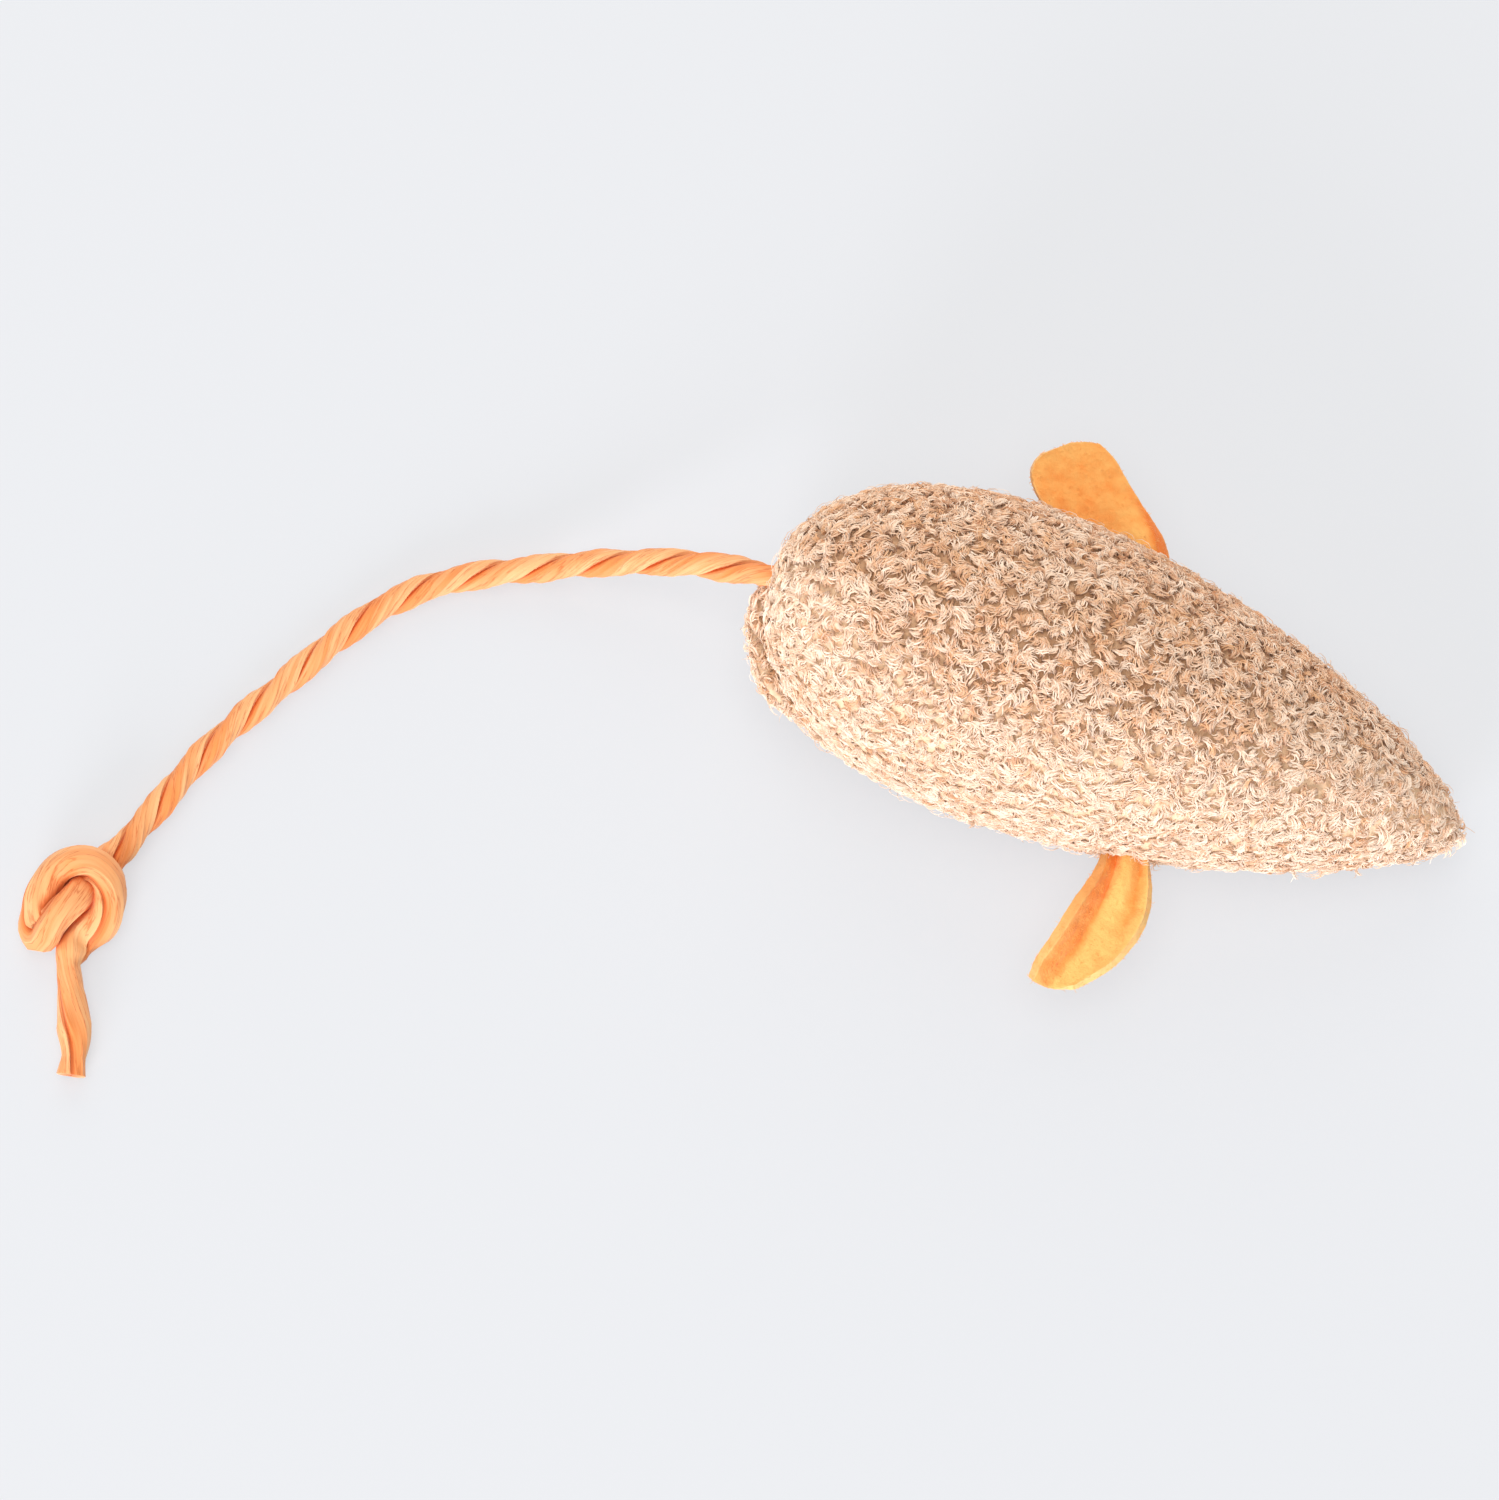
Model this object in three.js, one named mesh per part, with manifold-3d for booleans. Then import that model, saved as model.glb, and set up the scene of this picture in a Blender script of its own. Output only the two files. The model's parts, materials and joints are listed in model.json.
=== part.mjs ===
// Catnip mouse: a stuffed teardrop of terry cloth with two felt ears and a knotted paper-cord tail.
// Millimetres. +X points to the nose, +Y to the mouse's left and +Z up.
// The origin is on the table, under the middle of the body.

import * as THREE from 'three';
import { mergeVertices } from 'three/addons/utils/BufferGeometryUtils.js';
import Module from 'manifold-3d';

// Body
const BODY_LENGTH = 80;
const BODY_WIDTH = 34;
const WIDEST_FROM_REAR = 29.3;
const BACK_RISE = 19.5; // the top of the back above the seam
const SEAM_REAR_HEIGHT = 11;
const SEAM_NOSE_HEIGHT = 5;
const REST_CUT = 0.5; // how deep the flat is that the mouse stands on
const REAR_SQUARENESS = 2.4; // 2 is an ellipse, more is blunter
const NOSE_SLOPE = 1.7; // how late the body starts to narrow towards the nose
const NOSE_BLUNTNESS = 0.7; // 1 is a point, less is rounder
const BACK_SQUARENESS = 2.1; // the section above the seam
const BELLY_SQUARENESS = 2.7; // the section below the seam
const BELLY_LEVEL = 0.32; // 0 keeps the underside level to both ends

// Cloth, thread and fits
const COVER_WALL = 2.2; // terry cloth with its pile
const NOSE_WALL = 5; // cloth gathered in the tip of the nose
const SEAM_GAP = 0.3;
const FIT = 0.3; // clearance between pieces that touch
const THREAD_DIAMETER = 0.6;
const CLOSING_REACH = 11; // how far right of the middle the hand-closed gap runs

// Catnip wad, lying on the belly cloth
const CATNIP_LENGTH = 34;
const CATNIP_WIDTH = 18;
const CATNIP_TOP = 13; // above the table
const CATNIP_X = -6;

// Felt ears. x is where the ear crosses the seam and root is how much of the seam it takes up there.
// sweep leans it back from square to the seam, lift tilts it up from the seam, roll turns it about its
// own length and cup is half the angle that it is curled through from edge to edge.
const FELT = 1.2;
const EAR_ROOT_REACH = 1.3; // the sewn root beyond the body
const EAR_TUCK = 3; // the sewn root inside the cloth
const EAR_FOLD_ROOM = 0.75; // bare felt left between root and flap so that the flap can fold
const EAR_FOLD_AT = 0.4; // where the fold lies in that room, from the root
const EAR_TIP_ROUND = 5; // length of the rounded end
const EAR_TIP_FLAT = 0.02; // share of the rounded end that is cut off square
const EAR_CUP_REACH = 0.4; // share of the length over which the cup opens to its full depth
const EAR_LEAST_CUP = 0.05; // share of the cup that is there at the root
const EARS = {
  left: {
    side: 1, x: -7.8, root: 10, length: 10.8, base: 7.6, width: 9.2, sweep: 57, lift: 10, roll: 4, cup: 16,
  },
  right: {
    side: -1, x: 6.8, root: 5, length: 15.4, base: 4.6, width: 9.2, sweep: 31, lift: -4, roll: 24, cup: 56,
  },
};

// Paper-cord tail
const TAIL_DIAMETER = 3.2;
const TAIL_SIDE = 0.4; // the tail leaves the seam this far left of the middle
const TAIL_TUCK = 8; // cord caught inside the cloth
const TAIL_SIDES = 8;
const TAIL_STEP = 5; // length of one straight facet of the cord
const TAIL_BENDS = [0.415, 0.72]; // shares of the free stretch where it bends by itself
// Its points are counted from where it leaves the seam, and their heights from the table.
const TAIL_ROUTE = [
  [-4.8, -0.4, 10.3], [-8.8, -0.9, 9], [-13.3, -1.8, 7.1], [-18, -3.1, 5.1], [-22.3, -4.6, 3.5],
  [-26.4, -6.3, 2.4], [-30.6, -8.2, 1.85], [-34.6, -10.6, 1.7], [-38.3, -13.7, 1.7],
  [-41.7, -17.9, 1.7], [-44.6, -22.6, 1.7], [-47.4, -27.7, 1.7], [-50.2, -32.5, 1.7],
  [-52.8, -37.9, 1.7], [-55.1, -44.2, 1.7], [-56.3, -47.6, 1.75], [-57.1, -50, 1.8],
];

// Overhand knot, in its own frame: the cord comes in from the upper right, goes down over the end that
// hooks round it, and runs round left, top and right before it comes back under itself.
const KNOT_CENTRE = [-59.5, -57.6, 0]; // counted like the route
const KNOT_TURN = 19.7; // degrees about +Z
const KNOT_CORD = 2.8; // the cord is drawn thinner in the knot
const KNOT_CORE = [3.2, 3, 1.6];
const KNOT_CORE_HEIGHT = 2.9;
const KNOT_ROUTE = [
  [4.6, 5.3, 1.8], [3.1, 3.5, 1.5], [1.8, 1.5, 2.6], [0.8, -0.6, 4.4], [0.1, -2.6, 3.4],
  [-0.9, -4.1, 1.6], [-2.8, -4.3, 1.7], [-4.2, -2.6, 2.4], [-4.4, 0.2, 2.9], [-3.2, 2.9, 3.3],
  [-0.7, 4.3, 3.9], [2, 4, 4.5], [4, 2.2, 4.1], [4.4, -0.4, 2.9], [3.4, -2.4, 1.8],
  [1.4, -1.9, 1.5], [-0.8, -1.3, 1.8], [-1.4, -3, 3.9], [-0.5, -5, 4.2], [-0.2, -6.5, 2.9],
];
const END_ROUTE = [[-0.2, -6.9, 2.5], [0, -9.5, 1.8], [0.3, -12.5, 1.7], [0.4, -16, 1.7], [-0.2, -19.4, 1.7]];

const TERRY_STATIONS = 22;
const TERRY_SIDES = 28;
const THREAD_POINTS = 16;
const THREAD_STEPS = 56;
const THREAD_SIDES = 6;
const CLOSING_POINTS = 8;
const CLOSING_STEPS = 14;
const EAR_ROWS = 12;
const EAR_COLUMNS = 6;
const KNOT_STEPS = 14;
const KNOT_CORE_SIDES = 10;
const CATNIP_SIDES = 20;
const FAR = 200; // reaches past the whole mouse

const REAR_X = -BODY_LENGTH / 2;
const NOSE_X = BODY_LENGTH / 2;
const WIDEST_X = REAR_X + WIDEST_FROM_REAR;
const TAIL_RADIUS = TAIL_DIAMETER / 2;
const SEAM_SLOPE = (SEAM_NOSE_HEIGHT - SEAM_REAR_HEIGHT) / BODY_LENGTH;

const wasm = await Module();
wasm.setup();

function solidOf(geometry) {
  const bare = new THREE.BufferGeometry();
  bare.setAttribute('position', geometry.getAttribute('position'));
  bare.setIndex(geometry.getIndex());
  const merged = mergeVertices(bare, 1e-5);
  return new wasm.Manifold(new wasm.Mesh({
    numProp: 3,
    vertProperties: new Float32Array(merged.getAttribute('position').array),
    triVerts: new Uint32Array(merged.getIndex().array),
  }));
}

function geometryOf(solid) {
  const mesh = solid.getMesh();
  const geometry = new THREE.BufferGeometry();
  geometry.setAttribute('position', new THREE.BufferAttribute(mesh.vertProperties, 3));
  geometry.setIndex(new THREE.BufferAttribute(mesh.triVerts, 1));
  geometry.computeVertexNormals();
  return geometry;
}

// A closed skin over rings of points that all have the same count, with a fan to a point at each end.
function skin(firstTip, rings, lastTip) {
  const count = rings[0].length;
  const points = [firstTip, ...rings.flat(), lastTip];
  const last = points.length - 1;
  const index = [];
  for (let k = 0; k < count; k += 1) {
    const next = (k + 1) % count;
    index.push(0, 1 + next, 1 + k);
    for (let i = 0; i + 1 < rings.length; i += 1) {
      const a = 1 + i * count;
      const b = a + count;
      index.push(a + k, a + next, b + k, b + k, a + next, b + next);
    }
    const end = 1 + (rings.length - 1) * count;
    index.push(last, end + k, end + next);
  }
  const geometry = new THREE.BufferGeometry().setFromPoints(points);
  geometry.setIndex(index);
  return geometry;
}

function regularShape(radius, sides) {
  const corners = [];
  for (let k = 0; k < sides; k += 1) {
    const angle = ((k + 0.5) / sides) * 2 * Math.PI;
    corners.push(new THREE.Vector2(radius * Math.cos(angle), radius * Math.sin(angle)));
  }
  return new THREE.Shape(corners);
}

function tube(curve, radius, sides, steps) {
  return new THREE.ExtrudeGeometry(regularShape(radius, sides), { extrudePath: curve, steps });
}

function curveThrough(points) {
  return new THREE.CatmullRomCurve3(points, false, 'centripetal');
}

// Body form

function seamHeight(x) {
  return SEAM_REAR_HEIGHT + (x - REAR_X) * SEAM_SLOPE;
}

// A station runs from 0 at the rear, through 0.5 at the widest place, to 1 at the nose. It gives x and
// the share of the full width there, for the form that lies inset inside the outer surface.
function station(place, inset, noseInset) {
  if (place < 0.5) {
    const angle = place * Math.PI;
    const back = Math.cos(angle) ** (2 / REAR_SQUARENESS);
    return {
      x: WIDEST_X - back * (WIDEST_FROM_REAR - inset),
      full: Math.sin(angle) ** (2 / REAR_SQUARENESS),
    };
  }
  const forward = Math.sin((place - 0.5) * Math.PI);
  return {
    x: WIDEST_X + forward * (NOSE_X - noseInset - WIDEST_X),
    full: Math.max(0, 1 - forward ** NOSE_SLOPE) ** NOSE_BLUNTNESS,
  };
}

function power(value, exponent) {
  return Math.sign(value) * Math.abs(value) ** exponent;
}

function bodyForm(inset, noseInset) {
  const rings = [];
  for (let i = 1; i < TERRY_STATIONS; i += 1) {
    const { x, full } = station(i / TERRY_STATIONS, inset, noseInset);
    const middle = seamHeight(x);
    const half = (BODY_WIDTH / 2 - inset) * full;
    const rise = (BACK_RISE - inset) * full;
    const drop = (middle + REST_CUT - inset) * full ** BELLY_LEVEL;
    const ring = [];
    for (let k = 0; k < TERRY_SIDES; k += 1) {
      const angle = ((k + 0.5) / TERRY_SIDES) * 2 * Math.PI;
      const above = Math.sin(angle) > 0;
      const exponent = 2 / (above ? BACK_SQUARENESS : BELLY_SQUARENESS);
      const y = half * power(Math.cos(angle), exponent);
      const z = middle + (above ? rise : drop) * power(Math.sin(angle), exponent);
      ring.push(new THREE.Vector3(x, y, z));
    }
    rings.push(ring);
  }
  const rear = REAR_X + inset;
  const nose = NOSE_X - noseInset;
  return solidOf(skin(
    new THREE.Vector3(rear, 0, seamHeight(rear)),
    rings,
    new THREE.Vector3(nose, 0, seamHeight(nose)),
  ));
}

// Everything above or below the seam's plane, shifted up by lift.
function seamSide(above, lift) {
  const farHeight = above ? FAR : -FAR;
  const shape = new THREE.Shape([
    new THREE.Vector2(-FAR, seamHeight(-FAR) + lift),
    new THREE.Vector2(FAR, seamHeight(FAR) + lift),
    new THREE.Vector2(FAR, farHeight),
    new THREE.Vector2(-FAR, farHeight),
  ]);
  const prism = new THREE.ExtrudeGeometry(shape, { depth: 2 * FAR, bevelEnabled: false });
  prism.rotateX(Math.PI / 2);
  prism.translate(0, FAR, 0);
  return solidOf(prism);
}

function seamPoint(place, side, inset, noseInset) {
  const { x, full } = station(place, inset, noseInset);
  return new THREE.Vector3(x, side * (BODY_WIDTH / 2 - inset) * full, seamHeight(x));
}

// The station behind the widest place where the seam, inset by that much, is y away from the middle.
function rearPlace(y, inset) {
  const share = Math.max(0, y) / (BODY_WIDTH / 2 - inset);
  return Math.asin(Math.min(1, share) ** (REAR_SQUARENESS / 2)) / Math.PI;
}

// Seam thread

const threadInset = COVER_WALL / 2;
const threadNoseInset = NOSE_WALL / 2;
const threadClear = TAIL_RADIUS + THREAD_DIAMETER + 2 * FIT;
const closingPlace = rearPlace(CLOSING_REACH, threadInset);

function threadPoints(from, to, side, count) {
  const points = [];
  for (let i = 0; i < count; i += 1) {
    const place = from + ((to - from) * i) / (count - 1);
    const point = seamPoint(place, side, threadInset, threadNoseInset);
    point.z -= THREAD_DIAMETER / 2;
    points.push(point);
  }
  return points;
}

const nearNose = 0.96; // the station where the thread starts to turn round the nose
const seamRun = curveThrough([
  ...threadPoints(rearPlace(TAIL_SIDE + threadClear, threadInset), nearNose, 1, THREAD_POINTS),
  ...threadPoints(1, 1, 1, 2).slice(1),
  ...threadPoints(nearNose, closingPlace, -1, THREAD_POINTS),
]);
const closingRun = curveThrough(
  threadPoints(
    closingPlace - (2 * THREAD_DIAMETER) / BODY_WIDTH,
    rearPlace(threadClear - TAIL_SIDE, threadInset),
    -1,
    CLOSING_POINTS,
  ),
);

function threadSolid(run, steps, clearance) {
  return solidOf(tube(run, THREAD_DIAMETER / 2 + clearance, THREAD_SIDES, steps));
}

// Tail route. The swinging cord starts in a dome about its bend, so that the bend has room.

function tailExit() {
  const { x } = station(rearPlace(TAIL_SIDE, 0), 0, 0);
  return new THREE.Vector3(x, TAIL_SIDE, seamHeight(x));
}

const bendRoom = TAIL_RADIUS + FIT;
const exit = tailExit();
const rootInner = new THREE.Vector3(exit.x + TAIL_TUCK, TAIL_SIDE, seamHeight(exit.x + TAIL_TUCK));
const outward = exit.clone().sub(rootInner).normalize();
const swingPoint = exit.clone().addScaledVector(outward, bendRoom);
const fromExit = ([x, y, z]) => new THREE.Vector3(exit.x + x, exit.y + y, z);
const freeStretch = curveThrough([swingPoint, ...TAIL_ROUTE.map(fromExit)]);
const freeLength = freeStretch.getLength();

function rootTube(clearance) {
  const inner = rootInner.clone().addScaledVector(outward, -clearance);
  const outer = exit.clone().addScaledVector(outward, clearance ? bendRoom : 0);
  return solidOf(tube(new THREE.LineCurve3(inner, outer), TAIL_RADIUS + clearance, TAIL_SIDES, 1));
}

function tailStretch(from, to) {
  const stop = to < 1 ? to - bendRoom / freeLength : to;
  const steps = Math.max(2, Math.round(((stop - from) * freeLength) / TAIL_STEP));
  const points = [];
  for (let i = 0; i <= steps; i += 1) {
    points.push(freeStretch.getPointAt(from + ((stop - from) * i) / steps));
  }
  const cord = solidOf(tube(curveThrough(points), TAIL_RADIUS, TAIL_SIDES, steps));
  const dome = new THREE.SphereGeometry(TAIL_RADIUS * Math.cos(Math.PI / TAIL_SIDES), TAIL_SIDES, 6);
  dome.translate(...points[0].toArray());
  return geometryOf(cord.add(solidOf(dome)));
}

// The knot's cord is joined to itself wherever its turns press together.
function knotGeometry() {
  const route = KNOT_ROUTE.map((p) => new THREE.Vector3(...p));
  const third = Math.ceil(route.length / 3);
  let knot = solidOf(
    new THREE.SphereGeometry(1, KNOT_CORE_SIDES, 8).scale(...KNOT_CORE).translate(0, 0, KNOT_CORE_HEIGHT),
  );
  for (let first = 0; first + 1 < route.length; first += third) {
    const turn = curveThrough(route.slice(first, first + third + 1));
    knot = knot.add(solidOf(tube(turn, KNOT_CORD / 2, TAIL_SIDES, KNOT_STEPS)));
  }
  return geometryOf(knot);
}

function tailEndGeometry() {
  const run = curveThrough(END_ROUTE.map((p) => new THREE.Vector3(...p)));
  return tube(run, TAIL_RADIUS, TAIL_SIDES, Math.round(run.getLength() / (TAIL_STEP / 2)));
}

// Ears. An ear's frame has its origin on the fold, +X along the seam, +Y out of the body and +Z up.

function placeOf(x) {
  let low = 0;
  let high = 1;
  for (let i = 0; i < 40; i += 1) {
    const middle = (low + high) / 2;
    if (station(middle, 0, 0).x < x) {
      low = middle;
    } else {
      high = middle;
    }
  }
  return low;
}

function earFrame({ side, x }) {
  const place = placeOf(x);
  const onSeam = seamPoint(place, side, 0, 0);
  const ahead = seamPoint(place + 0.005, side, 0, 0);
  const along = ahead.sub(seamPoint(place - 0.005, side, 0, 0)).normalize();
  const out = new THREE.Vector3(0, 0, side).cross(along).normalize();
  const up = along.clone().cross(out).multiplyScalar(side);
  const frame = new THREE.Matrix4().makeBasis(along.clone().multiplyScalar(side), out, up);
  const fold = onSeam.addScaledVector(out, EAR_ROOT_REACH).addScaledVector(up, FIT + FELT / 2);
  return frame.setPosition(fold);
}

function earRootBox({ root }, clearance) {
  const inner = -(EAR_ROOT_REACH + COVER_WALL + EAR_TUCK + clearance);
  const outer = clearance ? EAR_ROOT_REACH : -EAR_FOLD_AT * EAR_FOLD_ROOM;
  const box = new THREE.BoxGeometry(
    root + 2 * clearance,
    outer - inner,
    FELT + 2 * clearance,
  );
  box.translate(0, (outer + inner) / 2, 0);
  return box;
}

function earHalfWidth(along, { length, base, width }) {
  const spread = Math.min(1, Math.max(0, along) / (length - EAR_TIP_ROUND));
  const half = (base + (width - base) * Math.sin((spread * Math.PI) / 2)) / 2;
  const past = Math.max(0, (along - (length - EAR_TIP_ROUND)) / EAR_TIP_ROUND);
  return half * Math.sqrt(Math.max(0, 1 - past ** 3));
}

// The flap starts behind the fold and is cut off along it, so its lower edge is parallel to the fold.
function earFlap(ear) {
  const { side, length, sweep, lift, roll, cup } = ear;
  const start = -FELT - (ear.width / 2) * Math.tan(THREE.MathUtils.degToRad(sweep));
  const span = length - EAR_TIP_FLAT * EAR_TIP_ROUND - start;
  const rings = [];
  for (let i = 0; i <= EAR_ROWS; i += 1) {
    const along = start + span * Math.sin(((i / EAR_ROWS) * Math.PI) / 2);
    const half = earHalfWidth(along, ear);
    const opened = Math.min(1, Math.max(EAR_LEAST_CUP, along / (EAR_CUP_REACH * length)));
    const curl = THREE.MathUtils.degToRad(cup) * opened;
    const radius = half / curl;
    const over = [];
    const under = [];
    for (let k = 0; k <= EAR_COLUMNS; k += 1) {
      const angle = ((2 * k) / EAR_COLUMNS - 1) * curl;
      const wall = (r) => new THREE.Vector3(along, r * Math.sin(angle), radius - r * Math.cos(angle));
      over.push(wall(radius - FELT / 2));
      under.push(wall(radius + FELT / 2));
    }
    rings.push([...under, ...over.reverse()]);
  }
  const middleOf = (ring) => ring.reduce((sum, p) => sum.add(p), new THREE.Vector3()).divideScalar(ring.length);
  const leaf = skin(middleOf(rings[0]), rings, middleOf(rings[EAR_ROWS]));
  leaf.rotateX(THREE.MathUtils.degToRad(-roll));
  leaf.rotateY(THREE.MathUtils.degToRad(-lift));
  leaf.rotateZ(Math.PI / 2 + THREE.MathUtils.degToRad(side * sweep));
  const behindFold = new THREE.BoxGeometry(FAR, FAR, FAR);
  behindFold.translate(0, (1 - EAR_FOLD_AT) * EAR_FOLD_ROOM - FAR / 2, 0);
  return geometryOf(solidOf(leaf).subtract(solidOf(behindFold)));
}

// Assembly

const mouse = new THREE.Group();

function addMesh(group, name, geometry, material) {
  const mesh = new THREE.Mesh(geometry, material);
  mesh.name = name;
  group.add(mesh);
}

const terry = new THREE.MeshStandardMaterial({ color: 0xdcb48c, roughness: 1, metalness: 0 });
const felt = new THREE.MeshStandardMaterial({ color: 0xf9a04e, roughness: 0.95, metalness: 0 });
const paper = new THREE.MeshStandardMaterial({ color: 0xf2a566, roughness: 0.7, metalness: 0 });
const cotton = new THREE.MeshStandardMaterial({ color: 0xd9b794, roughness: 0.8, metalness: 0 });
const fibre = new THREE.MeshStandardMaterial({ color: 0xf4f2ec, roughness: 1, metalness: 0 });
const herb = new THREE.MeshStandardMaterial({ color: 0x74804a, roughness: 1, metalness: 0 });

const earGroups = {};
const roots = [rootTube(FIT)];
for (const [name, ear] of Object.entries(EARS)) {
  const group = new THREE.Group();
  group.applyMatrix4(earFrame(ear));
  addMesh(group, `${name}_ear_root`, earRootBox(ear, 0), felt);
  addMesh(group, `${name}_ear`, earFlap(ear), felt);
  roots.push(solidOf(earRootBox(ear, FIT).applyMatrix4(earFrame(ear))));
  earGroups[name] = group;
}

function withoutRoots(solid) {
  return roots.reduce((left, root) => left.subtract(root), solid);
}

const table = new THREE.BoxGeometry(2 * FAR, 2 * FAR, FAR);
table.translate(0, 0, -FAR / 2);
const shell = bodyForm(0, 0).subtract(bodyForm(COVER_WALL, NOSE_WALL)).subtract(solidOf(table));
const backCover = withoutRoots(shell.intersect(seamSide(true, SEAM_GAP)));
const bellyCover = withoutRoots(shell.intersect(seamSide(false, 0)))
  .subtract(threadSolid(seamRun, THREAD_STEPS, FIT))
  .subtract(threadSolid(closingRun, CLOSING_STEPS, FIT));

const filling = bodyForm(COVER_WALL + FIT, NOSE_WALL + FIT);
function catnipBall(clearance) {
  const ball = new THREE.SphereGeometry(1, CATNIP_SIDES, 14);
  ball.scale(CATNIP_LENGTH / 2 + clearance, CATNIP_WIDTH / 2 + clearance, CATNIP_TOP + clearance);
  ball.translate(CATNIP_X, 0, 0);
  return solidOf(ball);
}

const bodyGroup = new THREE.Group();
addMesh(bodyGroup, 'back_cover', geometryOf(backCover), terry);
addMesh(bodyGroup, 'belly_cover', geometryOf(bellyCover), terry);
addMesh(bodyGroup, 'seam_thread', geometryOf(threadSolid(seamRun, THREAD_STEPS, 0)), cotton);
addMesh(bodyGroup, 'closing_thread', geometryOf(threadSolid(closingRun, CLOSING_STEPS, 0)), cotton);
addMesh(bodyGroup, 'stuffing', geometryOf(withoutRoots(filling.subtract(catnipBall(FIT)))), fibre);
addMesh(bodyGroup, 'catnip', geometryOf(filling.intersect(catnipBall(0))), herb);

const tailGroup = new THREE.Group();
const [liftShare, curlShare] = TAIL_BENDS;
addMesh(tailGroup, 'tail_root', geometryOf(rootTube(0)), paper);
addMesh(tailGroup, 'tail_base', tailStretch(0, liftShare), paper);
addMesh(tailGroup, 'tail_middle', tailStretch(liftShare, curlShare), paper);
addMesh(tailGroup, 'tail_tip', tailStretch(curlShare, 1), paper);
const knotGroup = new THREE.Group();
knotGroup.position.copy(fromExit(KNOT_CENTRE));
knotGroup.rotation.z = THREE.MathUtils.degToRad(KNOT_TURN);
addMesh(knotGroup, 'tail_knot', knotGeometry(), paper);
addMesh(knotGroup, 'tail_end', tailEndGeometry(), paper);
tailGroup.add(knotGroup);

mouse.add(bodyGroup, earGroups.left, earGroups.right, tailGroup);

export default mouse;
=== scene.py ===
"""Catnip mouse: a curly terry body, two felt ears and a knotted paper-cord tail, round its packed frame."""

import json
import math

import bpy
import numpy as np
from bpy.props import FloatProperty, FloatVectorProperty, IntProperty, PointerProperty
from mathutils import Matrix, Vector, kdtree, noise


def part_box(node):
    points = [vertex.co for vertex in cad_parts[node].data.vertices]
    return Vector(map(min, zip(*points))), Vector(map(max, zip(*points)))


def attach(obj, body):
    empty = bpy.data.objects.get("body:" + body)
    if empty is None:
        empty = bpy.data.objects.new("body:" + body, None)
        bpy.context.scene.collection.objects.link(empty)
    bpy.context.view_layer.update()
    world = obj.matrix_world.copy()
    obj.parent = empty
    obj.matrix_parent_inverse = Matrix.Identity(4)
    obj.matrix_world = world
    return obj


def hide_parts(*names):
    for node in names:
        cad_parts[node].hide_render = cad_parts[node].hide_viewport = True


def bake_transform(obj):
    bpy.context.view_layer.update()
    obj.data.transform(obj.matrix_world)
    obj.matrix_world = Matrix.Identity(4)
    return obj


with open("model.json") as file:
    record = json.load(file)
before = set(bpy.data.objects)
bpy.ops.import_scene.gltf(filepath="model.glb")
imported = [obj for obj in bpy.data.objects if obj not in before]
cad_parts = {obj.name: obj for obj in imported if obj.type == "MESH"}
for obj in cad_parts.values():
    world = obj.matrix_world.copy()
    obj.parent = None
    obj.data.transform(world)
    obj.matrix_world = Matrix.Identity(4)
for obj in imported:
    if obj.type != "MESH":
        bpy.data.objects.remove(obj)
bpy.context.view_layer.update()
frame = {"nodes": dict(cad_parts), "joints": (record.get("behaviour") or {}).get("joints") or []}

bl_info = {
    "name": "Catnip mouse",
    "version": (1, 0, 0),
    "blender": (4, 5, 0),
    "location": "3D View > Sidebar > Catnip mouse",
    "description": "Dresses the catnip mouse's frame in terry cloth, felt and paper cord",
    "category": "Object",
}

MM = 0.001
JOINTS = {joint["name"]: joint for joint in frame["joints"]}

# The tail's centreline in millimetres, from inside the seam to the knot
TAIL_ROUTE = [
    (-32, 0.4, 10.4), (-36, 0.4, 10.7), (-40, 0.4, 11), (-41.9, 0.4, 11.1), (-44.8, 0, 10.3),
    (-48.8, -0.5, 9), (-53.3, -1.4, 7.1), (-58, -2.7, 5.1), (-62.3, -4.2, 3.5), (-66.4, -5.9, 2.4),
    (-70.6, -7.8, 1.85), (-74.6, -10.2, 1.7), (-78.3, -13.3, 1.7), (-81.7, -17.5, 1.7),
    (-84.6, -22.2, 1.7), (-87.4, -27.3, 1.7), (-90.2, -32.1, 1.7), (-92.8, -37.5, 1.7),
    (-95.1, -43.8, 1.7), (-96.3, -47.2, 1.75), (-97.1, -49.6, 1.8),
]
# The knot and the stub past it, in the knot's own frame
KNOT_CENTRE = (-99.5, -57.2, 0)
KNOT_TURN = 19.7
KNOT_ROUTE = [
    (3.5, 5.2, 1.7), (2.2, 3.6, 1.7), (1.1, 1.9, 2.5), (0.1, 0.5, 3.6), (-1.3, -0.9, 4),
    (-2.7, -2.4, 3.4), (-3.7, -3.4, 2.5), (-4.4, -2.6, 2), (-4.4, -0.7, 2.2), (-3.7, 1.5, 2.8),
    (-2.1, 3.5, 3.4), (0.1, 4.3, 4), (2.1, 3.9, 4.2), (3.3, 2.4, 3.8), (3.6, 0.7, 3.2),
    (3.2, -1, 2.6), (2.1, -2.3, 1.9), (0.8, -3.1, 1.3), (-0.2, -4.1, 1.2),
]
END_ROUTE = [(-0.8, -6.2, 1.6), (-0.6, -9, 1.6), (-0.2, -12, 1.6), (0.1, -15, 1.6), (-0.3, -18.6, 1.6)]
# The lengths along the tail at which its pieces meet, and the length of the loosened stub
TAIL_CUTS = (30.5 * MM, 61.5 * MM)
STUB = 13.5 * MM

# One step along a path
STEP = 0.5 * MM

# Facets on each strand of the cord, and the points along each
FOLDS = 6
FACET_POINTS = 3
# How much of the cord's twist is left in the knot and the stub
KNOT_TWIST = 0.35

# Points along each strand of pile and corners round it
STATIONS = 5
SIDES = 3

# The cloth is on the sole where its normal's height is under this, with so many strands to a lock
SOLE = -0.75
SOLE_STRANDS = 2
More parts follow.
